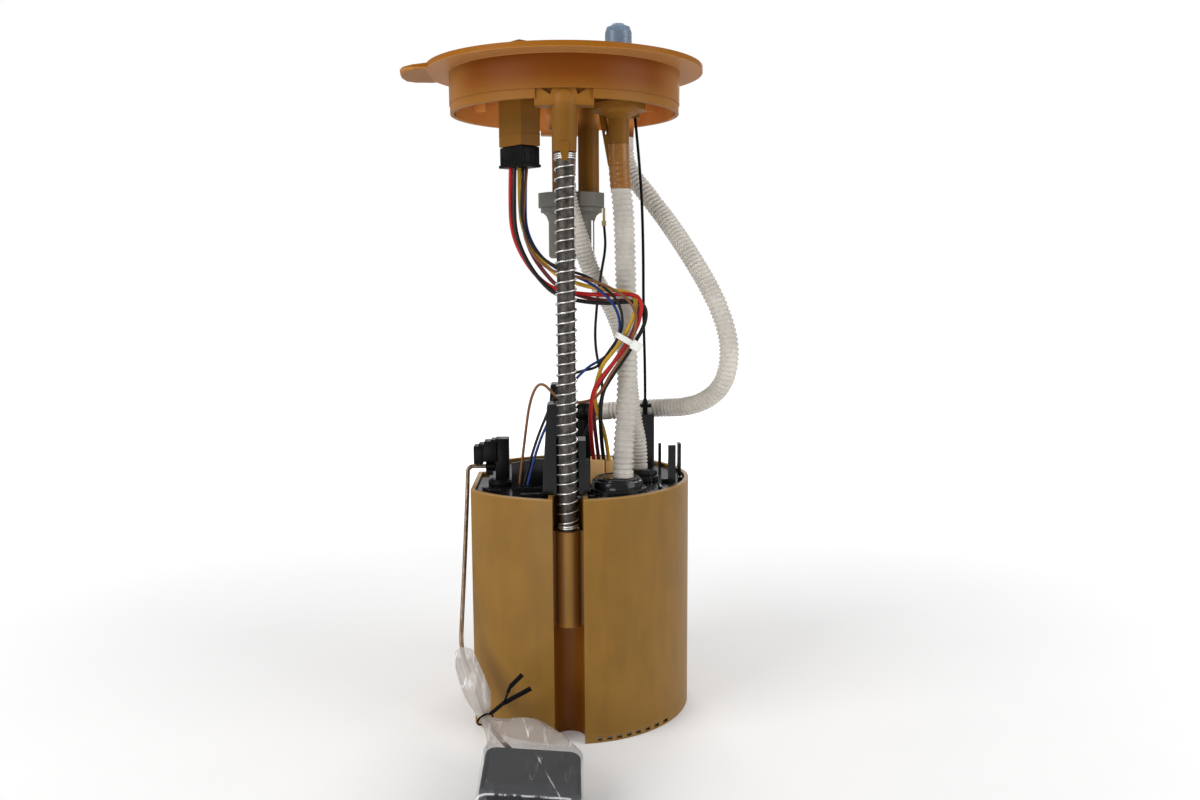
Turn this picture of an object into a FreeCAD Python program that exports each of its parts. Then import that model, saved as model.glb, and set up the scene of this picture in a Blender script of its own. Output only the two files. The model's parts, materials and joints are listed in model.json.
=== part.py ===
import FreeCAD, Part
import os
import math
from FreeCAD import Vector

os.makedirs("parts", exist_ok=True)

# All sizes in millimetres, Z up, origin on the reservoir's base below the module axis.

# Reservoir cup and lid
CUP_X = 2.0
CUP_R = 58.5
CUP_HEIGHT = 115.5
CUP_WALL = 2.0
CUP_FLAT_X = -46.0
CUP_STEP_X = -42.5
CUP_STEP_Y = 11.0
FLOOR_Z = 6.5
FLOOR_THICK = 2.0
LID_DROP = 4.5
LID_THICK = 3.0
LID_Z = CUP_HEIGHT - LID_DROP
LID_TOP = LID_Z + LID_THICK
TOWER_TOP = LID_TOP + 43.6
ROUTE_LID = 114.0
LID_GAP = 0.3
SLOT_FIRST_X = 13.9
SLOT_PITCH = 4.6
SLOT_WIDTH = 2.3
SLOT_LOW = 0.7
SLOT_HIGH = 2.4
SLOT_COUNT = 8

# Guide rods, sockets and springs
ROD_Y = 50.0
ROD_R = 4.0
ROD_ENTRY = 39.7
ROD_TOP = 300.0
ROD_FIT = 0.06
CHANNEL_HALF = 7.0
CHANNEL_CLEAR = 6.0
CHANNEL_DEPTH_Y = ROD_Y - CHANNEL_CLEAR
SOCKET_R = 5.9
SOCKET_DROP = 15.8
SOCKET_LONG = 44.9
SOCKET_TOP = CUP_HEIGHT - SOCKET_DROP
SOCKET_LOW = SOCKET_TOP - SOCKET_LONG
ROD_LOW = SOCKET_TOP - ROD_ENTRY
SPRING_R = 4.55
SPRING_WIRE = 0.8
SPRING_TURNS = 38
SPRING_GAP = 0.25
BOSS_TOP_R = 5.8
BOSS_LOW_R = 5.2
BOSS_LOW = 269.7
BOSS_FIT = 0.02

# Flange cover
FLANGE_R = 66.4
FLANGE_TOP = 313.9
FLANGE_THICK = 2.5
TAB_DROOP = 7.0
SKIRT_R = 55.4
SKIRT_WALL = 2.2
SKIRT_LOW = 292.3
LEDGE_Z = 296.4
LEDGE_STEP = 0.35
PAD_HALF = 13.0
PAD_LOW = 289.3
PAD_RECESS = 1.3
DOME_Z = 292.4
PORT_X = 25.0
PORT_Y = -24.0
PORT_BORE = 2.4
PORT_PLATE = 291.0
STUB_X = 30.0
STUB_Y = 24.0
SOCKET_BOX_LONG = 17.0
SOCKET_BOX_SHORT = 11.0
SOCKET_BOX_TURN = 130.0
SOCKET_BOX_CORNER = (-20.0, -29.0)
SOCKET_BOX_LOW = 275.6
PIN_R = 0.7

# Hoses and leads
FRONT_HOSE_D = 10.0
MIDDLE_HOSE_D = 9.0
SIDE_HOSE_D = 9.6
HOSE_WALL = 1.2
THICK_WIRE = 1.9
THIN_WIRE = 1.3
TETHER_D = 1.4
NIPPLE_GAP = 0.25
LOOM_LOW = 265.7
PLUG_TOP = LID_TOP + 12.0
GROMMET_TOP = LID_TOP + 3.0
GROUND_LOW = 240.0
TETHER_TOP = 291.6
TETHER_POST = 31.4
TETHER_LOW = LID_TOP + TETHER_POST + 7.6

# Regulator
REG_X = 2.8
REG_Y = 8.0
REG_HEAD_R = 16.8
REG_BODY_R = 11.35
REG_LOW = 224.1
REG_NECK = 246.6
REG_TOP = 255.9

# Pump, filter and valves inside the reservoir
PUMP_X = 8.0
PUMP_R = 19.0
PUMP_LOW = 24.0
PUMP_TOP = LID_Z - 23.0
PUMP_WALL = 1.4
MAGNET_WALL = 3.5
AIR_GAP = 0.6
SHAFT_R = 2.5
BEARING_R = 5.0
BEARING_FIT = 0.05
ISOLATOR_WALL = 4.7
FILTER_GAP = 5.0
FILTER_WALL = 9.0
MAGNET_R = PUMP_R - PUMP_WALL - 0.1 - MAGNET_WALL
CORE_R = MAGNET_R - AIR_GAP
OUTLET_SIDE = 9.0

# Level sender, arm and float
PIVOT = (-38.5, -10.0, LID_TOP + 8.3)
HUB_R = 2.6
ARM_D = 2.0
FLOAT_X = -15.6
FLOAT_Z = 12.4
FLOAT_LEAN = 4.9
FLOAT_LOW = FLOAT_Z - 9.1
FLOAT_TOP = FLOAT_Z + 9.1


def cyl(r, z0, z1, x=0.0, y=0.0):
    return Part.makeCylinder(r, z1 - z0, Vector(x, y, z0))


def ring(ro, ri, z0, z1, x=0.0, y=0.0):
    return cyl(ro, z0, z1, x, y).cut(cyl(ri, z0 - 1, z1 + 1, x, y))


def slab(x0, x1, y0, y1, z0, z1):
    return Part.makeBox(x1 - x0, y1 - y0, z1 - z0, Vector(x0, y0, z0))


def plate(points, z0, z1):
    corners = [Vector(x, y, z0) for x, y in points]
    face = Part.Face(Part.makePolygon(corners + [corners[0]]))
    return face.extrude(Vector(0, 0, z1 - z0))


def side_plate(points, y0, y1):
    corners = [Vector(x, y0, z) for x, z in points]
    face = Part.Face(Part.makePolygon(corners + [corners[0]]))
    return face.extrude(Vector(0, y1 - y0, 0))


def turned(profile, x=0.0, y=0.0):
    corners = [Vector(x + r, y, z) for r, z in profile]
    face = Part.Face(Part.makePolygon(corners + [corners[0]]))
    return face.revolve(Vector(x, y, 0), Vector(0, 0, 1), 360)


def fused(first, *rest):
    return first.multiFuse(list(rest)).removeSplitter()


def round_box(x0, x1, y0, y1, z0, z1, r):
    body = slab(x0, x1, y0, y1, z0, z1)
    upright = [e for e in body.Edges if abs(e.Vertexes[0].Z - e.Vertexes[1].Z) > 0.1]
    return body.makeFillet(r, upright)


def rod_between(a, b, r):
    run = Vector(*b) - Vector(*a)
    return Part.makeCylinder(r, run.Length, Vector(*a), run)


def route(points):
    # Straight runs joined by tangent arcs, the radius taken from the shorter run.
    stops = [Vector(*p) for p in points]
    edges = []
    radii = []
    start = stops[0]
    for before, corner, after in zip(stops, stops[1:], stops[2:]):
        back = before - corner
        ahead = after - corner
        reach = 0.45 * min(back.Length, ahead.Length)
        back.normalize()
        ahead.normalize()
        half_turn = (math.pi - back.getAngle(ahead)) / 2
        radius = reach / math.tan(half_turn)
        entry = corner + back * reach
        leave = corner + ahead * reach
        inward = back + ahead
        inward.normalize()
        centre = corner + inward * math.hypot(reach, radius)
        middle = centre - inward * radius
        edges.append(Part.LineSegment(start, entry).toShape())
        edges.append(Part.Arc(entry, middle, leave).toShape())
        radii.append(radius)
        start = leave
    edges.append(Part.LineSegment(start, stops[-1]).toShape())
    return Part.Wire(edges), radii


def follow(points):
    # Routes were measured with the lid at ROUTE_LID; their feet keep to the lid when it moves.
    rise = LID_TOP - ROUTE_LID
    return [(x, y, z + rise * min(1.0, max(0.0, (265.0 - z) / 110.0))) for x, y, z in points]


def swept(points, diameter, bore=0.0, name=""):
    path, radii = route(points)
    along = Vector(*points[1]) - Vector(*points[0])
    outer = Part.Wire(Part.makeCircle(diameter / 2, Vector(*points[0]), along))
    body = path.makePipeShell([outer], True, False)
    section = math.pi * diameter ** 2 / 4
    if bore:
        inner = Part.Wire(Part.makeCircle(bore / 2, Vector(*points[0]), along))
        body = body.cut(path.makePipeShell([inner], True, False))
        section -= math.pi * bore ** 2 / 4
    small = ", ".join("%.1f" % r for r in radii)
    share = body.Volume / (section * path.Length)
    print("%s length %.1f, volume share %.3f, radii %s" % (name, path.Length, share, small))
    return body


def trimmed(shape, low, high):
    # Cuts the ends flat where they meet the pieces that hold them.
    return shape.common(slab(-120, 120, -160, 120, low, high))


def coil(x, y, z0, z1, radius, wire, turns):
    # Open turns between two closed end turns, one smooth path.
    closed = 2.0
    steps = 14
    low = z0 + wire / 2
    high = z1 - wire / 2
    end_rise = closed * wire * 1.08
    points = []
    count = int((turns + 2 * closed) * steps)
    for i in range(count + 1):
        turn = i / steps
        if turn < closed:
            z = low + end_rise * turn / closed
        elif turn > turns + closed:
            z = high - end_rise * (turns + 2 * closed - turn) / closed
        else:
            z = low + end_rise + (high - low - 2 * end_rise) * (turn - closed) / turns
        a = 2 * math.pi * turn
        points.append(Vector(x + radius * math.cos(a), y + radius * math.sin(a), z))
    curve = Part.BSplineCurve()
    curve.interpolate(points)
    path = Part.Wire(curve.toShape())
    start = curve.tangent(curve.FirstParameter)[0]
    section = Part.Wire(Part.makeCircle(wire / 2, points[0], start))
    return path.makePipeShell([section], True, True)


# Reservoir cup

def cup_outline(inset, z0, z1):
    body = cyl(CUP_R - inset, z0, z1, CUP_X, 0)
    body = body.cut(slab(-90, CUP_FLAT_X + inset, -90, 90, z0 - 1, z1 + 1))
    return body.cut(slab(-90, CUP_STEP_X + inset, CUP_STEP_Y - inset, 90, z0 - 1, z1 + 1))


def channel_block(side, inset, z0, z1, half=None):
    half = half or CHANNEL_HALF + CUP_WALL - inset
    near = CHANNEL_DEPTH_Y - CUP_WALL + inset
    low = min(side * near, side * 75)
    high = max(side * near, side * 75)
    return slab(-half, half, low, high, z0, z1)


def reservoir_cup():
    outer = cup_outline(0, 0, CUP_HEIGHT)
    hollow = cup_outline(CUP_WALL, FLOOR_Z + FLOOR_THICK, CUP_HEIGHT + 1)
    under = cup_outline(CUP_WALL, -1, FLOOR_Z)
    for side in (-1, 1):
        hollow = hollow.cut(channel_block(side, 0, -5, 200))
        under = under.cut(channel_block(side, 0, -5, 200))
    body = outer.cut(hollow).cut(under)
    ledge = cup_outline(CUP_WALL - 0.5, LID_Z - 2.2, LID_Z - 0.1)
    inner = cup_outline(CUP_WALL + 1.6, LID_Z - 3, LID_Z + 1)
    body = body.fuse(ledge.cut(inner))
    for side in (-1, 1):
        body = body.cut(cyl(CHANNEL_HALF, -5, 200, 0, side * (CHANNEL_DEPTH_Y + CHANNEL_HALF)))
        body = body.cut(channel_block(side, CUP_WALL + CHANNEL_HALF, -5, 200, CHANNEL_HALF))
        sleeve = cyl(SOCKET_R, SOCKET_LOW, SOCKET_TOP, 0, side * ROD_Y)
        near = side * (CHANNEL_DEPTH_Y - 1)
        far = side * (ROD_Y + 2)
        back = slab(-CHANNEL_HALF, CHANNEL_HALF, min(near, far), max(near, far), SOCKET_LOW, SOCKET_TOP)
        body = body.fuse(sleeve.fuse(back))
        body = body.cut(cyl(ROD_R + ROD_FIT, SOCKET_LOW - 1, SOCKET_TOP + 1, 0, side * ROD_Y))
    for turn in (0, 180):
        for i in range(SLOT_COUNT):
            x = SLOT_FIRST_X + i * SLOT_PITCH
            slot = slab(x - SLOT_WIDTH / 2, x + SLOT_WIDTH / 2, -CUP_R - 4, -30, SLOT_LOW, SLOT_HIGH)
            slot.rotate(Vector(CUP_X, 0, 0), Vector(0, 0, 1), turn)
            body = body.cut(slot)
    body = body.cut(cyl(7.0, 0, FLOOR_Z + FLOOR_THICK + 3, -22, 18))
    post = ring(10.0, 8.0, FLOOR_Z + FLOOR_THICK, FLOOR_Z + FLOOR_THICK + 4.5, -22, 18)
    return body.fuse(post).removeSplitter()


def reservoir_lid():
    body = cup_outline(CUP_WALL + LID_GAP, LID_Z, LID_TOP)
    for side in (-1, 1):
        body = body.cut(channel_block(side, -LID_GAP, LID_Z - 10, LID_TOP + 90))
    parts = []
    for side in (-1, 1):
        tower = side_plate([(-11.6, LID_Z), (-11.4, LID_TOP + 8.0), (-10.8, LID_TOP + 19.0),
                            (-9.9, LID_TOP + 32.0), (-9.2, TOWER_TOP - 0.8), (-8.4, TOWER_TOP),
                            (-3.0, TOWER_TOP), (-3.0, LID_TOP + 26.8),
                            (8.4, LID_TOP + 26.8), (8.4, LID_TOP + 16.4), (10.2, LID_TOP + 16.4),
                            (10.2, LID_TOP + 3.4), (8.9, LID_TOP + 3.4), (8.9, LID_Z)], 36.0, 48.0)
        tower = tower.cut(slab(-20, 20, 41.3, 60, LID_Z - 1, CUP_HEIGHT + 0.4))
        tower = tower.cut(cyl(5.5, LID_Z - 10, LID_TOP + 56, 0, ROD_Y))
        if side < 0:
            tower = tower.mirror(Vector(0, 0, 0), Vector(0, 1, 0))
        parts.append(tower)
    low = LID_TOP - 2.0
    parts.append(slab(-25.0, -11.2, -37.4, -36.0, low, LID_TOP + 3.0))
    parts.append(slab(-25.0, -23.8, -36.2, -29.5, low, LID_TOP + 3.0))
    screen = [(-27.3, low), (-27.3, LID_TOP + 11.7), (-15.6, LID_TOP + 13.6), (-9.0, LID_TOP + 13.6),
              (-9.0, low)]
    parts.append(side_plate(screen, -21.4, -19.8))
    parts.append(round_box(-24.8, -17.0, -33.2, -24.6, low, GROMMET_TOP, 1.5))
    parts.append(round_box(36.0, 44.0, 3.9, 10.4, low, LID_TOP + TETHER_POST, 1.0))
    parts.append(slab(48.0, 49.5, 26.5, 29.5, low, LID_TOP + 12.5))
    parts.append(slab(48.7, 52.3, -22.0, -19.6, low, LID_TOP + 19.6))
    parts.append(slab(55.6, 57.3, 0.5, 5.5, low, LID_TOP + 16.7))
    parts.append(ring(15.5, 14.2, low, LID_TOP + 1.2, 23.5, -33))
    body = body.multiFuse(parts)
    for r, x, y in ((3.0, 26.2, -34.0), (3.0, 35.4, -6.0), (4.5, 9.1, 29.8)):
        body = body.cut(cyl(r, LID_Z - 10, LID_TOP + 6, x, y))
    body = body.cut(slab(11.6, 21.9, -15.9, -4.6, LID_Z - 10, LID_TOP + 6))
    body = body.common(cyl(CUP_R - CUP_WALL - LID_GAP, 0, 400, CUP_X, 0))
    return body.removeSplitter()


def hose_cap(x, y, radius, foot, hose_x, hose_y, hose_d, height):
    top = LID_TOP + height
    body = fused(cyl(foot, LID_TOP, LID_TOP + 2.4, x, y), cyl(radius, LID_TOP, top - 1.2, x, y),
                 cyl(radius - 1.2, LID_TOP, top, x, y))
    spigot = cyl(hose_d / 2 - HOSE_WALL - NIPPLE_GAP, top - 1, top + 8, hose_x, hose_y)
    body = body.fuse(spigot).removeSplitter()
    return body.cut(cyl(2.0, LID_TOP - 1, top + 9, hose_x, hose_y))


# Flange cover

def box_points(inset, grow=0.0):
    turn = math.radians(SOCKET_BOX_TURN)
    long_dir = Vector(math.cos(turn), math.sin(turn), 0)
    short_dir = Vector(math.sin(turn), -math.cos(turn), 0)
    corner = Vector(SOCKET_BOX_CORNER[0], SOCKET_BOX_CORNER[1], 0)
    centre = corner + long_dir * (SOCKET_BOX_LONG / 2) + short_dir * (SOCKET_BOX_SHORT / 2)
    points = []
    for a, b in ((-1, -1), (1, -1), (1, 1), (-1, 1)):
        p = centre + long_dir * (a * (SOCKET_BOX_LONG / 2 - inset + grow))
        p = p + short_dir * (b * (SOCKET_BOX_SHORT / 2 - inset + grow))
        points.append((p.x, p.y))
    return points


def terminal_pins():
    turn = math.radians(SOCKET_BOX_TURN)
    corners = box_points(0)
    cx = sum(p[0] for p in corners) / 4
    cy = sum(p[1] for p in corners) / 4
    pins = []
    for row in (-1, 1):
        for i in range(4):
            along = (i - 1.5) * 3.2
            x = cx + along * math.cos(turn) + row * 2.0 * math.sin(turn)
            y = cy + along * math.sin(turn) - row * 2.0 * math.cos(turn)
            pins.append(cyl(PIN_R, 288.0, 319.0, x, y))
    return pins


def guide_boss(side):
    pad = slab(-PAD_HALF, PAD_HALF, -57.0, -45.0, PAD_LOW, FLANGE_TOP - 1)
    pad = pad.common(cyl(SKIRT_R - PAD_RECESS, PAD_LOW - 1, FLANGE_TOP))
    for s in (-1, 1):
        corners = [(s * 9.8, LEDGE_Z - 0.1), (s * 5.2, LEDGE_Z - 0.1), (s * 6.0, LEDGE_Z - 2.6)]
        pad = pad.cut(side_plate(corners, -58, -51.5))
    sleeve = Part.makeCone(BOSS_LOW_R, BOSS_TOP_R, 20.0, Vector(0, -ROD_Y, BOSS_LOW))
    sleeve = sleeve.fuse(cyl(BOSS_TOP_R, BOSS_LOW + 20.0, DOME_Z, 0, -ROD_Y))
    dome = Part.makeSphere(BOSS_TOP_R, Vector(0, -ROD_Y, DOME_Z))
    tongue = side_plate([(-2.2, 274.0), (2.2, 274.0), (1.9, 269.5), (1.1, 265.5), (-1.1, 265.5),
                         (-1.9, 269.5)],
                        -ROD_Y - 5.65, -ROD_Y - 5.1)
    boss = pad.fuse(sleeve).fuse(dome).fuse(tongue)
    if side > 0:
        boss = boss.mirror(Vector(0, 0, 0), Vector(0, 1, 0))
    return boss


def flange_cover():
    under = FLANGE_TOP - FLANGE_THICK
    disc = cyl(FLANGE_R, under, FLANGE_TOP)
    tab = plate([(-60, -20), (-70, -20), (-74.5, -17.5), (-77, -12), (-77.5, -4), (-76.6, 5), (-73, 11),
                 (-69, 13.8), (-65.5, 16.8), (-60, 17)], under, FLANGE_TOP)
    tab.rotate(Vector(-61, 0, under), Vector(0, 1, 0), -TAB_DROOP)
    skirt = ring(SKIRT_R - LEDGE_STEP, SKIRT_R - SKIRT_WALL, SKIRT_LOW, under + 0.5)
    skirt = skirt.fuse(ring(SKIRT_R, SKIRT_R - SKIRT_WALL, LEDGE_Z, under + 0.5))
    for low, high in ((-60, -45), (45, 60)):
        skirt = skirt.cut(slab(-PAD_HALF + 0.4, PAD_HALF - 0.4, low, high, SKIRT_LOW - 1, LEDGE_Z))
    parts = [tab, skirt, guide_boss(-1), guide_boss(1)]
    port = turned([(PORT_BORE, 327.0), (4.0, 327.0), (4.0, under + 1), (11.2, under + 1),
                   (11.2, PORT_PLATE + 3.2),
                   (12.5, PORT_PLATE + 3.2), (12.5, PORT_PLATE), (9.6, PORT_PLATE), (8.6, PORT_PLATE - 1.4),
                   (5.6, PORT_PLATE - 2.8), (4.8, PORT_PLATE - 3.6), (4.8, 276.2),
                   (3.55, 276.2), (3.55, 267.5), (PORT_BORE, 267.5)], PORT_X, PORT_Y)
    parts.append(port)
    top = PORT_PLATE + 0.1
    fin = side_plate([(12.3, top), (6.2, 266.5), (5.5, 266.5), (5.5, 278.4), (9.5, top)], -0.8, 0.8)
    fin = fin.cut(Part.makeCylinder(1.2, 4, Vector(8.5, -2, 282.0), Vector(0, 1, 0)))
    fin.rotate(Vector(0, 0, 0), Vector(0, 0, 1), 133)
    fin.translate(Vector(PORT_X, PORT_Y, 0))
    parts.append(fin)
    parts.append(plate(box_points(0), SOCKET_BOX_LOW, under + 0.5))
    parts.append(plate(box_points(0, 2.0), FLANGE_TOP - 0.5, 321.5))
    parts.append(cyl(5.2, 256.0, under + 0.5, 11.5, 8))
    parts.append(cyl(4.2, 256.0, under + 0.5, -2.5, 14))
    collar = [(0, 287.5), (5.5, 287.5), (7.4, 294.9), (7.4, under + 0.5), (0, under + 0.5)]
    parts.append(turned(collar, -2.5, 14))
    parts.append(cyl(4.6, 269.8, under + 0.5, 0, -15))
    parts.append(cyl(MIDDLE_HOSE_D / 2 - HOSE_WALL - NIPPLE_GAP, 258.0, 270.0, 0, -15))
    parts.append(Part.makeCone(4.8, 6.2, 27.0, Vector(STUB_X, STUB_Y, 285.0)))
    parts.append(cyl(SIDE_HOSE_D / 2 - HOSE_WALL - NIPPLE_GAP, 280.3, 286.0, STUB_X, STUB_Y))
    parts.append(cyl(2.2, TETHER_TOP, under + 0.5, 34.2, 2))
    for turn in range(20, 360, 40):
        rib = slab(-0.8, 0.8, 46.0, 54.0, 298.0, under + 0.5)
        rib.rotate(Vector(0, 0, 0), Vector(0, 0, 1), turn)
        parts.append(rib)
    body = disc.multiFuse(parts)
    body = body.cut(cyl(PORT_BORE, 250, 340, PORT_X, PORT_Y))
    body = body.cut(plate(box_points(1.3), SOCKET_BOX_LOW - 1, 300.0))
    body = body.cut(plate(box_points(0, 0.4), 316.0, 325.0))
    body = body.cut(cyl(3.6, 255, 305, 11.5, 8)).cut(cyl(2.8, 255, 305, -2.5, 14))
    body = body.cut(cyl(2.0, 250, 305, 0, -15)).cut(cyl(2.2, 260, 305, STUB_X, STUB_Y))
    for pin in terminal_pins():
        body = body.cut(pin)
    for side in (-1, 1):
        body = body.cut(cyl(ROD_R + BOSS_FIT, BOSS_LOW - 5, ROD_TOP + 0.1, 0, side * ROD_Y))
    return body.removeSplitter()


def outlet_cap():
    cap = turned([(0, 330.0), (3.6, 329.6), (5.4, 328.3), (6.2, 326.0), (6.2, 316.0), (4.25, 316.0),
                  (4.25, 327.3), (0, 327.3)], PORT_X, PORT_Y)
    return cap


def loom_plug():
    body = plate(box_points(0.5), 266.6, 275.3)
    nose = plate(box_points(1.65), 275.0, 287.3)
    lip = plate(box_points(0, 0.3), LOOM_LOW, 267.4)
    collar = plate(box_points(0, 0.1), 273.4, 275.3)
    return fused(body, nose, lip, collar)


# Regulator

def regulator_housing():
    head_points = []
    for i in range(12):
        a = math.radians(15 + 30 * i)
        head_points.append((REG_X + REG_HEAD_R * math.cos(a), REG_Y + REG_HEAD_R * math.sin(a)))
    head = plate(head_points, REG_NECK + 2.4, REG_TOP)
    step = cyl(REG_HEAD_R - 1.6, REG_NECK, REG_NECK + 2.6, REG_X, REG_Y)
    body = turned([(0, REG_LOW), (REG_BODY_R - 1.0, REG_LOW), (REG_BODY_R, REG_LOW + 1.0),
                   (REG_BODY_R, 242.0), (REG_BODY_R + 1.2, 245.0), (REG_BODY_R + 3.2, REG_NECK + 0.1),
                   (0, REG_NECK + 0.1)], REG_X, REG_Y)
    whole = fused(head, step, body)
    whole = whole.cut(cyl(8.0, 228.0, 243.5, REG_X, REG_Y))
    whole = whole.cut(cyl(3.0, 220, 229, REG_X, REG_Y))
    whole = whole.cut(cyl(2.6, 240, 260, 11.0, REG_Y))
    whole = whole.cut(cyl(5.3, 255.0, 257, 11.5, 8))
    return whole.cut(slab(12.6, 13.6, -2.0, 18.0, 227.0, 243.0))


def regulator_valve():
    return fused(cyl(7.7, 228.0, 229.6, REG_X, REG_Y), cyl(2.4, 229.0, 236.0, REG_X, REG_Y))


# Pump

def pump_case():
    return ring(PUMP_R, PUMP_R - PUMP_WALL, PUMP_LOW, PUMP_TOP, PUMP_X, 0)


def pump_top_cap():
    inner = PUMP_R - PUMP_WALL - 0.1
    body = turned([(0, PUMP_TOP + 8), (PUMP_R - 11, PUMP_TOP + 8), (PUMP_R - 2, PUMP_TOP + 4),
                   (PUMP_R, PUMP_TOP + 2), (PUMP_R, PUMP_TOP), (inner, PUMP_TOP), (inner, PUMP_TOP - 4),
                   (0, PUMP_TOP - 4)], PUMP_X, 0)
    side = PUMP_X + OUTLET_SIDE
    body = body.fuse(cyl(3.6, PUMP_TOP + 7, PUMP_TOP + 17, side, 0)).removeSplitter()
    body = body.cut(cyl(2.2, PUMP_TOP - 8, PUMP_TOP + 22, side, 0))
    return body.cut(cyl(BEARING_R, PUMP_TOP - 8, PUMP_TOP, PUMP_X, 0))


def pump_inlet_base():
    inner = PUMP_R - PUMP_WALL - 0.1
    body = turned([(0, PUMP_LOW - 10), (PUMP_R, PUMP_LOW - 8), (PUMP_R, PUMP_LOW), (inner, PUMP_LOW),
                   (inner, PUMP_LOW + 9), (0, PUMP_LOW + 9)], PUMP_X, 0)
    body = body.cut(cyl(CORE_R + 1.6, PUMP_LOW - 2, PUMP_LOW + 3, PUMP_X, 0))
    body = body.cut(cyl(SHAFT_R + 0.6, PUMP_LOW - 6, PUMP_LOW + 10, PUMP_X, 0))
    body = body.cut(cyl(BEARING_R, PUMP_LOW + 5, PUMP_LOW + 10, PUMP_X, 0))
    body = body.cut(cyl(3.0, PUMP_LOW - 14, PUMP_LOW - 1, PUMP_X + OUTLET_SIDE, 0))
    return body.cut(cyl(2.5, PUMP_LOW + 2, PUMP_LOW + 10, PUMP_X - OUTLET_SIDE, 0))


def pump_bearings():
    low = ring(BEARING_R, SHAFT_R + BEARING_FIT, PUMP_LOW + 5, PUMP_LOW + 9, PUMP_X, 0)
    high = ring(BEARING_R, SHAFT_R + BEARING_FIT, PUMP_TOP - 4, PUMP_TOP, PUMP_X, 0)
    return Part.makeCompound([low, high])


def slotted(radius, depth, width, count, z0, z1):
    # A disc or stack round the shaft with open slots in its rim.
    body = ring(radius, SHAFT_R, z0, z1, PUMP_X, 0)
    for i in range(count):
        slot = slab(-width / 2, width / 2, radius - depth, radius + 2, z0 - 1, z1 + 1)
        slot.rotate(Vector(0, 0, 0), Vector(0, 0, 1), 360 / count * i)
        slot.translate(Vector(PUMP_X, 0, 0))
        body = body.cut(slot)
    return body


def armature():
    body = slotted(CORE_R, 3.0, 1.8, 10, PUMP_LOW + 16, PUMP_TOP - 14)
    return body.fuse(ring(CORE_R - 5.4, SHAFT_R, PUMP_TOP - 14, PUMP_TOP - 8, PUMP_X, 0))


def impeller():
    return slotted(CORE_R + 0.1, 2.7, 1.6, 16, PUMP_LOW - 1, PUMP_LOW + 2)


def filter_element():
    inner = PUMP_R + FILTER_GAP
    return ring(inner + FILTER_WALL, inner, PUMP_LOW - 4, PUMP_TOP + 8, PUMP_X, 0)


def strainer():
    side = PUMP_X + OUTLET_SIDE
    low = FLOOR_Z + FLOOR_THICK + 0.5
    body = cyl(15.0, low, low + 3.6, PUMP_X + 2, 0)
    spout = ring(2.8, 1.8, low + 3.0, PUMP_LOW - 7, side, 0)
    return body.fuse(spout).removeSplitter().cut(cyl(1.8, low + 2, PUMP_LOW - 6, side, 0))


# Sender, arm and float

def sender_housing():
    top = LID_TOP
    head = side_plate([(-46.0, top + 10.3), (-28.9, top + 10.3), (-28.9, top + 22.8), (-35.0, top + 22.8),
                       (-37.0, top + 22.4), (-39.5, top + 21.6), (-41.0, top + 20.1), (-46.0, top + 19.2)],
                      -16.0, -8.0)
    head = head.cut(rod_between((-41.2, PIVOT[1], PIVOT[2]), (-35.2, PIVOT[1], PIVOT[2]), HUB_R + 0.4))
    post = slab(-35.2, -28.9, -15.0, -7.6, top + 1.0, top + 11.0)
    base = cyl(6.6, top, top + 3.0, -32.4, -15.0)
    axle = rod_between((PIVOT[0] - 0.4, PIVOT[1], PIVOT[2]), (-35.0, PIVOT[1], PIVOT[2]), 1.5)
    return fused(head, post, base, axle)


def arm_holder():
    x, y, z = PIVOT
    body = rod_between((x - 1.9, y, z), (x + 2.6, y, z), HUB_R)
    finger = slab(x - 1.9, x + 1.4, y - 2.0, y + 1.2, z - 4.2, z - 1.0)
    bore = rod_between((x - 0.6, y, z), (x + 3, y, z), 1.56)
    socket = rod_between((x - 3, y, z), (x - 1.0, y, z), ARM_D / 2 + 0.02)
    return body.fuse(finger).cut(bore).cut(socket).removeSplitter()


ARM_ROUTE = [(-43.5, PIVOT[1], PIVOT[2]), (-49.4, PIVOT[1], PIVOT[2]), (-49.5, -14.5, PIVOT[2] - 12.3),
             (-50.0, -31.5, 76.0), (-50.6, -50.0, 43.0), (-44.0, -61.0, 30.0), (-38.0, -72.0, 18.5),
             (-28.5, -86.0, 13.8), (-18.0, -103.0, 12.4), (-15.8, -138.0, 12.4)]


def float_arm():
    axis_end = rod_between((-43.6, PIVOT[1], PIVOT[2]), (PIVOT[0] - 1.1, PIVOT[1], PIVOT[2]), ARM_D / 2)
    return swept(ARM_ROUTE, ARM_D, 0, "float_arm").fuse(axis_end).removeSplitter()


def float_block():
    body = slab(FLOAT_X - 19.6, FLOAT_X + 19.6, -145.6, -106.4, FLOAT_LOW, FLOAT_TOP)
    upright = [e for e in body.Edges if abs(e.Vertexes[0].Z - e.Vertexes[1].Z) > 0.1]
    body = body.makeFillet(5.0, upright)
    top = [e for e in body.Edges if min(v.Z for v in e.Vertexes) > FLOAT_TOP - 0.01]
    body = body.makeFillet(1.6, top)
    body.rotate(Vector(FLOAT_X, -126, FLOAT_Z), Vector(0, 1, 0), FLOAT_LEAN)
    return body


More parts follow.
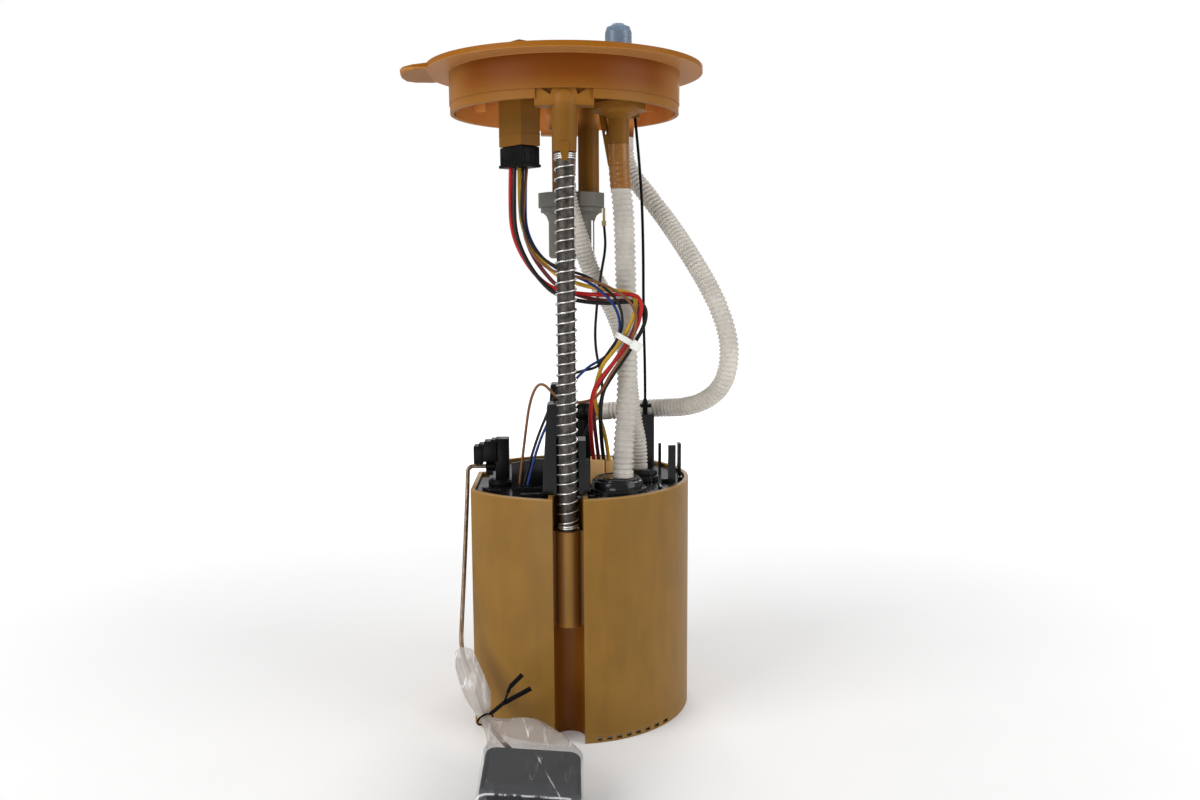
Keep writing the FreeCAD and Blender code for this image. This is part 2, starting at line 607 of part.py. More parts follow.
# Film bag round the float, gathered by a tie on the arm. Each row holds Y, the middle's X and Z,
# the half width and half height, the lean and the corner cut.
BAG_STATIONS = [(-148.2, FLOAT_X, FLOAT_Z, 20.0, 8.9, FLOAT_LEAN, 1.2),
                (-147.2, FLOAT_X, FLOAT_Z, 21.2, 10.0, FLOAT_LEAN, 1.2),
                (-105.0, FLOAT_X, FLOAT_Z, 21.2, 10.0, FLOAT_LEAN, 1.2),
                (-92.0, -19.0, 15.6, 17.0, 12.8, 2.0, 8.5), (-84.0, -26.5, 16.5, 10.5, 8.6, 0.0, 5.0),
                (-77.0, -33.4, 17.6, 5.0, 4.4, 0.0, 1.5), (-73.5, -37.2, 18.4, 2.8, 2.8, 0.0, 1.0),
                (-71.0, -38.6, 19.7, 2.8, 2.8, 0.0, 1.0), (-64.0, -42.0, 28.0, 6.5, 6.0, 0.0, 2.1),
                (-56.0, -46.6, 36.5, 6.0, 5.2, 0.0, 1.8), (-51.0, -48.6, 42.0, 4.8, 3.2, 0.0, 1.1)]


def bag_loft(inset, reach):
    wires = []
    for i, (y, x, z, a, b, lean, cut) in enumerate(BAG_STATIONS):
        c, d = math.cos(math.radians(lean)), math.sin(math.radians(lean))
        if i == 0:
            y += 0.4 if inset else 0
        if i == len(BAG_STATIONS) - 1:
            y += reach
        a, b = a - inset, b - inset
        inner, outer = a - cut, b - cut
        corners = [(-inner, -b), (inner, -b), (a, -outer), (a, outer), (inner, b), (-inner, b), (-a, outer),
                   (-a, -outer)]
        points = [Vector(x + u * c + v * d, y, z - u * d + v * c) for u, v in corners]
        wires.append(Part.makePolygon(points + [points[0]]))
    return Part.makeLoft(wires, True, True)


def bag_tie():
    loop = Part.makeTorus(3.9, 0.55, Vector(-37.9, -72.3, 19.0), Vector(-0.45, 0.8, 0.55))
    stem = rod_between((-35.3, -72.8, 21.9), (-28.7, -75.0, 28.2), 1.2)
    first = rod_between((-28.7, -75.0, 28.2), (-26.3, -74.6, 35.2), 0.75)
    second = rod_between((-26.3, -74.6, 35.2), (-20.8, -74.0, 40.6), 0.75)
    third = rod_between((-29.2, -75.0, 27.6), (-17.2, -75.6, 34.2), 0.75)
    return fused(loop, stem, first, second, third)


# Hoses, leads and cords

FRONT_HOSE = [(25.0, -24.0, 276.0), (25.1, -24.0, 263.0), (27.3, -23.7, 246.0), (28.0, -23.4, 222.0),
              (28.4, -24.6, 198.0), (28.9, -26.5, 172.0), (27.8, -30.5, 148.0), (26.2, -34.0, 134.0),
              (26.2, -34.0, 121.0)]
MIDDLE_HOSE = [(0.0, -15.0, 269.6), (0.2, -15.0, 255.0), (4.4, -15.4, 240.0), (8.7, -14.0, 227.0),
               (12.5, -10.5, 216.0), (22.0, -7.0, 201.0), (29.0, -6.0, 182.0), (30.8, -7.0, 160.0),
               (32.5, -7.0, 144.0), (35.4, -6.0, 132.0), (35.4, -6.0, 120.0)]
SIDE_HOSE = [(30.0, 24.0, 285.0), (30.0, 24.0, 275.5), (33.0, 21.8, 266.5), (39.4, 18.0, 258.6),
             (45.0, 14.0, 250.4), (51.2, 9.5, 241.9),
             (61.0, -4.0, 225.0), (71.3, -14.0, 205.9), (77.7, -18.0, 188.2), (78.8, -18.0, 174.2),
             (76.1, -14.0, 161.6), (69.1, -4.0, 153.0), (59.7, 6.0, 148.7), (49.1, 14.3, 147.4),
             (37.7, 20.3, 146.2), (14.53, 27.98, 143.85)]
WIRES = {
    "wire_red": (THICK_WIRE, [
        (-25.5, -19.5, 266.7), (-26.0, -23.0, 245.5), (-24.5, -26.0, 234.0), (-20.0, -29.0, 224.0),
        (-13.0, -32.0, 214.5), (-4.0, -34.5, 208.5), (16.0, -37.0, 206.5), (31.5, -40.0, 207.5),
        (34.5, -42.0, 203.5), (34.0, -41.0, 197.5), (32.0, -40.0, 190.5), (23.0, -38.5, 177.0),
        (16.5, -37.5, 169.5), (11.5, -35.5, 161.5), (10.5, -31.0, 143.5), (12.8, -14.0, 125.0)]),
    "wire_black": (THICK_WIRE, [
        (-23.5, -22.0, 266.7), (-24.0, -25.5, 245.5), (-23.0, -28.5, 234.5), (-19.0, -32.0, 224.0),
        (-12.5, -34.5, 214.0), (-4.0, -36.5, 206.0), (15.5, -37.0, 202.5), (32.5, -36.5, 204.0),
        (36.5, -36.5, 201.5), (37.0, -36.5, 196.0), (34.5, -36.0, 189.0), (26.0, -35.0, 176.0),
        (20.5, -33.0, 168.0), (16.0, -31.0, 160.0), (15.5, -27.5, 142.0), (17.6, -14.0, 125.0)]),
    "wire_yellow": (THICK_WIRE, [
        (-21.5, -19.0, 266.7), (-21.5, -22.5, 246.0), (-19.5, -26.0, 236.0), (-15.0, -29.5, 227.5),
        (-9.0, -33.0, 220.0), (-2.5, -35.0, 214.5), (13.5, -36.5, 209.5), (27.5, -36.5, 208.5),
        (31.5, -38.0, 206.0), (32.0, -40.0, 201.5), (30.5, -39.0, 195.5), (25.0, -38.0, 185.0),
        (20.5, -37.0, 179.5), (15.5, -34.0, 173.0), (12.0, -29.0, 157.0), (18.8, -23.5, 139.0),
        (20.0, -14.0, 125.0)]),
    "wire_maroon": (THICK_WIRE, [
        (-20.0, -17.0, 266.7), (-20.5, -19.5, 246.5), (-19.5, -23.5, 236.0), (-16.0, -27.5, 225.5),
        (-10.0, -30.0, 217.0), (-3.0, -32.0, 209.5), (15.5, -33.5, 203.5), (31.0, -34.0, 204.5),
        (33.5, -34.5, 201.0), (32.5, -35.0, 194.5), (30.5, -34.5, 188.0), (21.5, -32.5, 174.5),
        (16.0, -30.0, 166.5), (12.0, -26.5, 159.0), (13.0, -24.0, 142.5), (15.2, -14.0, 125.0)]),
    "wire_signal": (THIN_WIRE, [
        (-19.5, -20.5, 266.7), (-21.0, -25.0, 247.5), (-19.5, -29.5, 238.0), (-16.0, -33.0, 229.5),
        (-9.5, -35.5, 222.5), (-2.5, -38.0, 219.0), (11.5, -39.5, 215.0), (21.5, -40.0, 207.0),
        (25.0, -40.0, 201.0), (26.0, -39.5, 194.5), (25.0, -37.5, 188.5), (17.5, -34.5, 177.5),
        (14.0, -31.0, 172.5), (6.5, -29.0, 171.0), (-1.5, -28.5, 168.0), (-8.5, -28.5, 153.5),
        (-16.5, -28.5, 134.0), (-21.0, -28.5, 116.0)]),
    "wire_brown": (THIN_WIRE, [
        (-18.0, -17.5, 266.7), (-19.5, -23.0, 247.5), (-20.0, -27.5, 238.5), (-18.0, -31.0, 230.0),
        (-12.5, -35.0, 222.0), (-5.0, -38.5, 217.0), (12.0, -41.0, 214.0), (25.5, -42.5, 207.5),
        (30.5, -43.0, 202.0), (32.5, -42.5, 196.0), (29.5, -41.5, 184.0), (25.0, -40.5, 177.5),
        (20.0, -38.0, 170.0), (16.5, -34.0, 162.5), (12.0, -32.0, 157.0), (0.0, -32.5, 156.0),
        (-5.5, -32.0, 159.5), (-12.5, -30.5, 167.0), (-17.5, -29.5, 158.5), (-20.5, -28.0, 138.0),
        (-23.2, -26.6, 116.0)]),
    "wire_blue": (THIN_WIRE, [
        (-18.5, -14.5, 266.7), (-19.0, -18.0, 247.5), (-18.5, -21.5, 238.0), (-15.0, -25.2, 229.0),
        (-9.0, -30.2, 222.0), (-2.5, -34.5, 217.8), (11.5, -38.5, 212.5), (20.5, -40.0, 204.5),
        (23.5, -39.0, 199.0), (25.0, -37.0, 193.0), (24.0, -35.0, 187.0), (20.5, -33.0, 180.5),
        (16.5, -31.5, 176.5), (9.5, -31.5, 173.0), (1.5, -30.5, 164.5), (-7.5, -30.0, 151.0),
        (-15.5, -30.5, 132.5), (-19.2, -31.2, 116.0)]),
}
GROUND_WIRE = [(19.0, 7.5, 241.0), (19.5, 2.0, 233.5), (19.0, -6.0, 227.0), (17.2, -15.0, 219.0),
               (15.3, -18.5, 208.5), (14.3, -19.5, 198.5), (13.5, -19.7, 188.5), (14.0, -19.6, 179.0),
               (16.0, -19.0, 170.0), (17.3, -18.0, 160.5), (15.5, -15.5, 151.5), (10.0, -12.0, 142.0),
               (5.0, -9.5, 129.0), (4.0, -9.0, 113.0)]
TETHER = [(34.2, 2.0, 292.6), (37.0, 2.0, 265.0), (38.3, 3.0, 232.0), (38.5, 5.0, 195.0),
          (39.5, 7.0, 168.0), (39.5, 7.0, 152.0)]


def zip_tie():
    # The loop lies across the bundle, its band following the run of the leads.
    band = 2.6
    outer = slab(-8.8, 3.4, -3.9, 7.2, -band / 2, band / 2)
    upright = [e for e in outer.Edges if abs(e.Vertexes[0].Z - e.Vertexes[1].Z) > 0.1]
    outer = outer.makeFillet(2.6, upright)
    inner = slab(-8.1, 2.7, -3.2, 6.5, -band, band)
    upright = [e for e in inner.Edges if abs(e.Vertexes[0].Z - e.Vertexes[1].Z) > 0.1]
    inner = inner.makeFillet(1.9, upright)
    lock = slab(-0.4, 4.4, -6.0, -3.3, -2.2, 2.2)
    loop = outer.fuse(lock).cut(inner).removeSplitter()
    along = Vector(-0.503, 0.018, -0.864)
    across = Vector(0.864, 0.0, -0.503)
    deep = along.cross(across)
    if deep.y < 0:
        deep = deep * -1
    place = FreeCAD.Matrix(across.x, deep.x, along.x, 30.1, across.y, deep.y, along.y, -39.5,
                           across.z, deep.z, along.z, 184.7, 0, 0, 0, 1)
    return loop.transformGeometry(place)


def outlet_elbow():
    centre = Vector(9.1, 29.8, LID_TOP + 29.3)
    out = Vector(23.15, -7.74, 2.35)
    out.normalize()
    stem = cyl(4.3, LID_TOP, centre.z, centre.x, centre.y)
    foot = cyl(5.8, LID_TOP, LID_TOP + 2.6, centre.x, centre.y)
    knee = Part.makeSphere(5.6, centre)
    collar = Part.makeCylinder(5.2, 5.72, centre, out)
    nipple = Part.makeCylinder(SIDE_HOSE_D / 2 - HOSE_WALL - NIPPLE_GAP, 15.0, centre, out)
    body = fused(stem, foot, knee, collar, nipple)
    body = body.cut(cyl(2.4, LID_Z, centre.z, centre.x, centre.y))
    return body.cut(Part.makeCylinder(2.0, 20.0, centre, out))


def tether_plug():
    low = LID_TOP + TETHER_POST
    return turned([(0, low), (1.3, low), (1.3, low + 3.4), (3.25, low + 3.4), (3.25, low + 5.2),
                   (1.6, low + 5.2), (0.9, TETHER_LOW), (0, TETHER_LOW)], 39.5, 7.0)


def pump_plug():
    return fused(slab(11.1, 18.6, -16.5, -8.0, LID_TOP, PLUG_TOP),
                 slab(11.1, 22.5, -15.0, -4.0, LID_TOP, PLUG_TOP),
                 slab(12.0, 21.5, -15.5, -5.0, LID_Z - 3, LID_TOP))


NODES = {}
NODES["reservoir_cup"] = reservoir_cup()
NODES["reservoir_lid"] = reservoir_lid()
NODES["front_hose_cap"] = hose_cap(23.5, -33.0, 12.0, 13.9, 26.2, -34.0, FRONT_HOSE_D, 7.0)
NODES["side_hose_cap"] = hose_cap(36.0, -6.0, 8.6, 9.4, 35.4, -6.0, MIDDLE_HOSE_D, 6.0)
NODES["outlet_elbow"] = outlet_elbow()
NODES["pump_plug"] = pump_plug()
NODES["tether_plug"] = tether_plug()
NODES["flange_cover"] = flange_cover()
NODES["outlet_cap"] = outlet_cap()
NODES["terminal_pins"] = Part.makeCompound(terminal_pins())
NODES["loom_plug"] = loom_plug()
for label, side in (("front", -1), ("rear", 1)):
    rod = cyl(ROD_R, ROD_LOW, ROD_TOP, 0, side * ROD_Y)
    NODES[label + "_guide_rod"] = rod.makeChamfer(0.6, [e for e in rod.Edges if e.Closed])
    NODES[label + "_spring"] = coil(0, side * ROD_Y, SOCKET_TOP + SPRING_GAP, BOSS_LOW - SPRING_GAP,
                                    SPRING_R, SPRING_WIRE, SPRING_TURNS)
NODES["regulator_housing"] = regulator_housing()
NODES["regulator_valve"] = regulator_valve()
NODES["regulator_spring"] = coil(REG_X, REG_Y, 229.9, 243.3, 5.4, 0.8, 5)
NODES["regulator_seal"] = ring(5.0, 3.7, 255.0, 255.95, 11.5, 8)
NODES["ground_terminal"] = fused(slab(18.4, 19.6, 5.6, 9.4, GROUND_LOW, REG_NECK + 2.2),
                                 slab(17.9, 20.0, 5.2, 9.8, GROUND_LOW, GROUND_LOW + 2.4))
NODES["pump_case"] = pump_case()
NODES["pump_top_cap"] = pump_top_cap()
NODES["pump_inlet_base"] = pump_inlet_base()
NODES["magnet_ring"] = ring(MAGNET_R + MAGNET_WALL, MAGNET_R, PUMP_LOW + 14, PUMP_TOP - 12, PUMP_X, 0)
NODES["pump_bearings"] = pump_bearings()
NODES["armature"] = armature()
NODES["pump_shaft"] = cyl(SHAFT_R, PUMP_LOW - 1.6, PUMP_TOP - 0.6, PUMP_X, 0)
NODES["impeller"] = impeller()
NODES["pump_isolator"] = ring(PUMP_R + 0.1 + ISOLATOR_WALL, PUMP_R + 0.1, PUMP_LOW + 20, PUMP_LOW + 30,
                              PUMP_X, 0)
NODES["filter_element"] = filter_element()
NODES["strainer"] = strainer()
NODES["jet_pump"] = fused(round_box(-36.0, -27.0, -26.0, -8.0, 8.5, 16.0, 2.0),
                          cyl(3.0, 15.0, 30.0, -31.5, -17.0))
NODES["inlet_check_valve"] = fused(cyl(7.8, 8.5, 9.7, -22, 18), cyl(6.6, 7.0, 8.6, -22, 18))
NODES["sender_housing"] = sender_housing()
NODES["sender_board"] = slab(-44.0, -30.0, -8.0, -7.2, LID_TOP + 11.8, LID_TOP + 18.6)
NODES["arm_holder"] = arm_holder()
NODES["float_arm"] = float_arm()
NODES["float_bag"] = bag_loft(0, 0).cut(bag_loft(0.35, 1.0))
NODES["bag_tie"] = bag_tie()
NODES["float"] = float_block().cut(swept(ARM_ROUTE, ARM_D + 0.1, 0, "float bore"))
HOSES = (("front_hose", FRONT_HOSE, FRONT_HOSE_D), ("middle_hose", MIDDLE_HOSE, MIDDLE_HOSE_D),
         ("side_hose", SIDE_HOSE, SIDE_HOSE_D))
for name, points, diameter in HOSES:
    NODES[name] = swept(follow(points), diameter, diameter - 2 * HOSE_WALL, name)
for name, (diameter, points) in WIRES.items():
    foot = PLUG_TOP if diameter == THICK_WIRE else GROMMET_TOP
    NODES[name] = trimmed(swept(follow(points), diameter, 0, name), foot, LOOM_LOW)
NODES["ground_wire"] = trimmed(swept(follow(GROUND_WIRE), THIN_WIRE, 0, "ground_wire"), LID_TOP, GROUND_LOW)
NODES["tether_cord"] = trimmed(swept(follow(TETHER), TETHER_D, 0, "tether_cord"), TETHER_LOW, TETHER_TOP)
NODES["zip_tie"] = zip_tie()

for name, shape in NODES.items():
    box = shape.BoundBox
    if not shape.isValid() or not shape.Solids:
        raise RuntimeError("node %s is not a valid solid" % name)
    print("%-18s solids %d volume %9.1f  x %.1f %.1f  y %.1f %.1f  z %.1f %.1f" % (
        name, len(shape.Solids), shape.Volume, box.XMin, box.XMax, box.YMin, box.YMax, box.ZMin, box.ZMax))
    shape.exportStep("parts/%s.step" % name)
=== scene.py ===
"""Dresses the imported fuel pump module: hoses, leads, springs, trim, finishes and a plain studio."""

import json
import math

import bmesh
import bpy
from bpy.props import FloatProperty, FloatVectorProperty, PointerProperty
from mathutils import Matrix, Quaternion, Vector


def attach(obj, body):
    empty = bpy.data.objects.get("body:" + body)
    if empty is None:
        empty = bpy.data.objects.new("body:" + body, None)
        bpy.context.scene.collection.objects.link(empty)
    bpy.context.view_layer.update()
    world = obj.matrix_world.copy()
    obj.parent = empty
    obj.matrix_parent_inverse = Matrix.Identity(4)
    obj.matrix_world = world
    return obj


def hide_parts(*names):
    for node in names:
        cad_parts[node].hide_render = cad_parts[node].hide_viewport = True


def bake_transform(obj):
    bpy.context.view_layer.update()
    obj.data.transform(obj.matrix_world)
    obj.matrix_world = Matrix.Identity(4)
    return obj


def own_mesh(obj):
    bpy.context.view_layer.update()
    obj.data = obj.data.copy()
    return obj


bl_info = {
    "name": "Fuel Pump Module",
    "version": (1, 0, 0),
    "blender": (4, 5, 0),
    "location": "3D View > Sidebar > Pump Module",
    "description": "Builds the visible pieces and finishes of a fuel pump module over its CAD frame",
    "category": "Object",
}

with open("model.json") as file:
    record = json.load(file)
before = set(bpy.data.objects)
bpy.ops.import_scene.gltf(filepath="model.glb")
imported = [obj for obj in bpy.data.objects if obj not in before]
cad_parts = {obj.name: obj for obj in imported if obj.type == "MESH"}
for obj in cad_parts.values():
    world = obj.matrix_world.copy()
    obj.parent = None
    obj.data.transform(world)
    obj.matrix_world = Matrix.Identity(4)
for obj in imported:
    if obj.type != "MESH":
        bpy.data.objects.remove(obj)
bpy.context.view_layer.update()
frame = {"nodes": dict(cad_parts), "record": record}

MM = 0.001

# Heights on the object, in millimetres.
LID_TOP = 114.0

# The photo's camera: place in metres, line of sight and roll in degrees.
CAMERA_PLACE = (0.0022, -0.5151, 0.2180)
CAMERA_AHEAD = (0.0272, 0.9919, -0.1243)
CAMERA_ROLL = 0.308

# Routes of hoses and leads in millimetres, as in the CAD source, with the leads' ends at their plugs.
FRONT_HOSE = [(25.0, -24.0, 276.0), (25.1, -24.0, 263.0), (27.3, -23.7, 246.0), (28.0, -23.4, 222.0),
              (28.4, -24.6, 198.0), (28.9, -26.5, 172.0), (27.8, -30.5, 148.0), (26.2, -34.0, 134.0),
              (26.2, -34.0, 121.0)]
MIDDLE_HOSE = [(0.0, -15.0, 269.6), (0.2, -15.0, 255.0), (4.4, -15.4, 240.0), (8.7, -14.0, 227.0),
               (12.5, -10.5, 216.0), (22.0, -7.0, 201.0), (29.0, -6.0, 182.0), (30.8, -7.0, 160.0),
               (32.5, -7.0, 144.0), (35.4, -6.0, 132.0), (35.4, -6.0, 120.0)]
SIDE_HOSE = [(30.0, 24.0, 285.0), (30.0, 24.0, 275.5), (33.0, 21.8, 266.5), (39.4, 18.0, 258.6),
             (45.0, 14.0, 250.4), (51.2, 9.5, 241.9),
             (61.0, -4.0, 225.0), (71.3, -14.0, 205.9), (77.7, -18.0, 188.2), (78.8, -18.0, 174.2),
             (76.1, -14.0, 161.6), (69.1, -4.0, 153.0), (59.7, 6.0, 148.7), (49.1, 14.3, 147.4),
             (37.7, 20.3, 146.2), (14.53, 27.98, 143.85)]
THICK = 1.9
THIN = 1.3
LEADS = {
    "wire_red": (THICK, 126.0, [
        (-25.5, -19.5, 265.7), (-26.0, -23.0, 245.5), (-24.5, -26.0, 234.0), (-20.0, -29.0, 224.0),
        (-13.0, -32.0, 214.5), (-4.0, -34.5, 208.5), (16.0, -37.0, 206.5), (31.5, -40.0, 207.5),
        (34.5, -42.0, 203.5), (34.0, -41.0, 197.5), (32.0, -40.0, 190.5), (23.0, -38.5, 177.0),
        (16.5, -37.5, 169.5), (11.5, -35.5, 161.5), (10.5, -31.0, 143.5), (12.8, -14.0, 125.5)]),
    "wire_black": (THICK, 126.0, [
        (-23.5, -22.0, 265.7), (-24.0, -25.5, 245.5), (-23.0, -28.5, 234.5), (-19.0, -32.0, 224.0),
        (-12.5, -34.5, 214.0), (-4.0, -36.5, 206.0), (15.5, -37.0, 202.5), (32.5, -36.5, 204.0),
        (36.5, -36.5, 201.5), (37.0, -36.5, 196.0), (34.5, -36.0, 189.0), (26.0, -35.0, 176.0),
        (20.5, -33.0, 168.0), (16.0, -31.0, 160.0), (15.5, -27.5, 142.0), (17.6, -14.0, 125.5)]),
    "wire_yellow": (THICK, 126.0, [
        (-21.5, -19.0, 265.7), (-21.5, -22.5, 246.0), (-19.5, -26.0, 236.0), (-15.0, -29.5, 227.5),
        (-9.0, -33.0, 220.0), (-2.5, -35.0, 214.5), (13.5, -36.5, 209.5), (27.5, -36.5, 208.5),
        (31.5, -38.0, 206.0), (32.0, -40.0, 201.5), (30.5, -39.0, 195.5), (25.0, -38.0, 185.0),
        (20.5, -37.0, 179.5), (15.5, -34.0, 173.0), (12.0, -29.0, 157.0), (18.8, -23.5, 139.0),
        (20.0, -14.0, 125.5)]),
    "wire_maroon": (THICK, 126.0, [
        (-20.0, -17.0, 265.7), (-20.5, -19.5, 246.5), (-19.5, -23.5, 236.0), (-16.0, -27.5, 225.5),
        (-10.0, -30.0, 217.0), (-3.0, -32.0, 209.5), (15.5, -33.5, 203.5), (31.0, -34.0, 204.5),
        (33.5, -34.5, 201.0), (32.5, -35.0, 194.5), (30.5, -34.5, 188.0), (21.5, -32.5, 174.5),
        (16.0, -30.0, 166.5), (12.0, -26.5, 159.0), (13.0, -24.0, 142.5), (15.2, -14.0, 125.5)]),
    "wire_signal": (THIN, 117.0, [
        (-19.5, -20.5, 265.7), (-21.0, -25.0, 247.5), (-19.5, -29.5, 238.0), (-16.0, -33.0, 229.5),
        (-9.5, -35.5, 222.5), (-2.5, -38.0, 219.0), (11.5, -39.5, 215.0), (21.5, -40.0, 207.0),
        (25.0, -40.0, 201.0), (26.0, -39.5, 194.5), (25.0, -37.5, 188.5), (17.5, -34.5, 177.5),
        (14.0, -31.0, 172.5), (6.5, -29.0, 171.0), (-1.5, -28.5, 168.0), (-8.5, -28.5, 153.5),
        (-16.5, -28.5, 134.0), (-21.0, -28.5, 116.8)]),
    "wire_brown": (THIN, 117.0, [
        (-18.0, -17.5, 265.7), (-19.5, -23.0, 247.5), (-20.0, -27.5, 238.5), (-18.0, -31.0, 230.0),
        (-12.5, -35.0, 222.0), (-5.0, -38.5, 217.0), (12.0, -41.0, 214.0), (25.5, -42.5, 207.5),
        (30.5, -43.0, 202.0), (32.5, -42.5, 196.0), (29.5, -41.5, 184.0), (25.0, -40.5, 177.5),
        (20.0, -38.0, 170.0), (16.5, -34.0, 162.5), (12.0, -32.0, 157.0), (0.0, -32.5, 156.0),
        (-5.5, -32.0, 159.5), (-12.5, -30.5, 167.0), (-17.5, -29.5, 158.5), (-20.5, -28.0, 138.0),
        (-23.2, -26.6, 116.8)]),
    "wire_blue": (THIN, 117.0, [
        (-18.5, -14.5, 265.7), (-19.0, -18.0, 247.5), (-18.5, -21.5, 238.0), (-15.0, -25.2, 229.0),
        (-9.0, -30.2, 222.0), (-2.5, -34.5, 217.8), (11.5, -38.5, 212.5), (20.5, -40.0, 204.5),
        (23.5, -39.0, 199.0), (25.0, -37.0, 193.0), (24.0, -35.0, 187.0), (20.5, -33.0, 180.5),
        (16.5, -31.5, 176.5), (9.5, -31.5, 173.0), (1.5, -30.5, 164.5), (-7.5, -30.0, 151.0),
        (-15.5, -30.5, 132.5), (-19.2, -31.2, 116.8)]),
}
GROUND_LEAD = [(19.0, 7.5, 240.2), (19.5, 2.0, 233.5), (19.0, -6.0, 227.0), (17.2, -15.0, 219.0),
               (15.3, -18.5, 208.5), (14.3, -19.5, 198.5), (13.5, -19.7, 188.5), (14.0, -19.6, 179.0),
               (16.0, -19.0, 170.0), (17.3, -18.0, 160.5), (15.5, -15.5, 151.5), (10.0, -12.0, 142.0),
               (5.0, -9.5, 129.0), (4.0, -9.0, 113.8)]
TETHER = [(34.2, 2.0, 291.6), (37.0, 2.0, 265.0), (38.3, 3.0, 232.0), (38.5, 5.0, 195.0),
          (39.5, 7.0, 168.0), (39.5, 7.0, 153.0)]


class ModuleSizes(bpy.types.PropertyGroup):
    front_rib_pitch: FloatProperty(name="Front Rib Pitch", description="From rib to rib on the front hose",
                                   default=2.6 * MM, unit="LENGTH")
    middle_rib_pitch: FloatProperty(name="Middle Rib Pitch", description="From rib to rib on the middle hose",
                                    default=1.8 * MM, unit="LENGTH")
    side_rib_pitch: FloatProperty(name="Side Rib Pitch", description="From rib to rib on the side hose",
                                  default=2.2 * MM, unit="LENGTH")
    rib_depth: FloatProperty(name="Rib Depth", description="How deep the grooves between the hose ribs are",
                             default=0.74 * MM, unit="LENGTH")
    spring_wire: FloatProperty(name="Spring Wire", description="Diameter of the spring wire",
                               default=0.85 * MM, unit="LENGTH")


class ModuleColours(bpy.types.PropertyGroup):
    tan: FloatVectorProperty(name="Tan", description="Moulded reservoir cup",
                             subtype="COLOR", size=3, default=(0.243, 0.121, 0.016))
    # Deep orange of the flange cover's skirt: the plastic's orange darkened as painted shade under the disc.
    amber: FloatVectorProperty(name="Amber", description="Flange cover where light comes through it",
                               subtype="COLOR", size=3, default=(0.190, 0.048, 0.002))
    grey: FloatVectorProperty(name="Grey", description="Regulator housing", subtype="COLOR", size=3,
                              default=(0.128, 0.121, 0.103))
    hose: FloatVectorProperty(name="Hose", description="Translucent corrugated hoses", subtype="COLOR",
                              size=3, default=(0.66, 0.62, 0.56))
    cap: FloatVectorProperty(name="Cap", description="Transport cap of the fuel outlet", subtype="COLOR",
                             size=3, default=(0.27, 0.38, 0.52))
    float_foam: FloatVectorProperty(name="Float", description="Level float", subtype="COLOR", size=3,
                                    default=(0.052, 0.055, 0.059))


class ModuleStage(bpy.types.PropertyGroup):
    lens: FloatProperty(name="Lens", description="Focal length on a 36 mm sensor", default=31.04, min=10)
    key_power: FloatProperty(name="Key Power", description="Power of the large soft lamp", default=6.0)
    fill_power: FloatProperty(name="Fill Power", description="Power of the side lamp", default=3.7)
    low_power: FloatProperty(name="Low Power", description="Power of the lamp for undersides", default=1.6)
    sky: FloatProperty(name="Sky", description="Strength of the even light from all round", default=0.42)


# Shader maths

class Value:
    """A number that a material works out, with Python's operators on it."""

    def __init__(self, recipe, socket):
        self.recipe = recipe
        self.socket = socket

    def op(self, kind, *others):
        node = self.recipe.node("ShaderNodeMath", {"operation": kind}, dict(enumerate((self,) + others)))
        return Value(self.recipe, node.outputs[0])

    def __add__(self, other):
        return self.op("ADD", other)

    __radd__ = __add__

    def __sub__(self, other):
        return self.op("SUBTRACT", other)

    def __rsub__(self, other):
        node = self.recipe.node("ShaderNodeMath", {"operation": "SUBTRACT"}, {0: other, 1: self})
        return Value(self.recipe, node.outputs[0])

    def __mul__(self, other):
        return self.op("MULTIPLY", other)

    __rmul__ = __mul__

    def size(self):
        """The number without its sign."""
        return self.op("ABSOLUTE")

    def above(self, low, high):
        """A smooth step from 0 at low to 1 at high."""
        node = self.recipe.node("ShaderNodeMapRange", {"interpolation_type": "SMOOTHSTEP"},
                                {"Value": self, "From Min": low, "From Max": high})
        return Value(self.recipe, node.outputs[0])


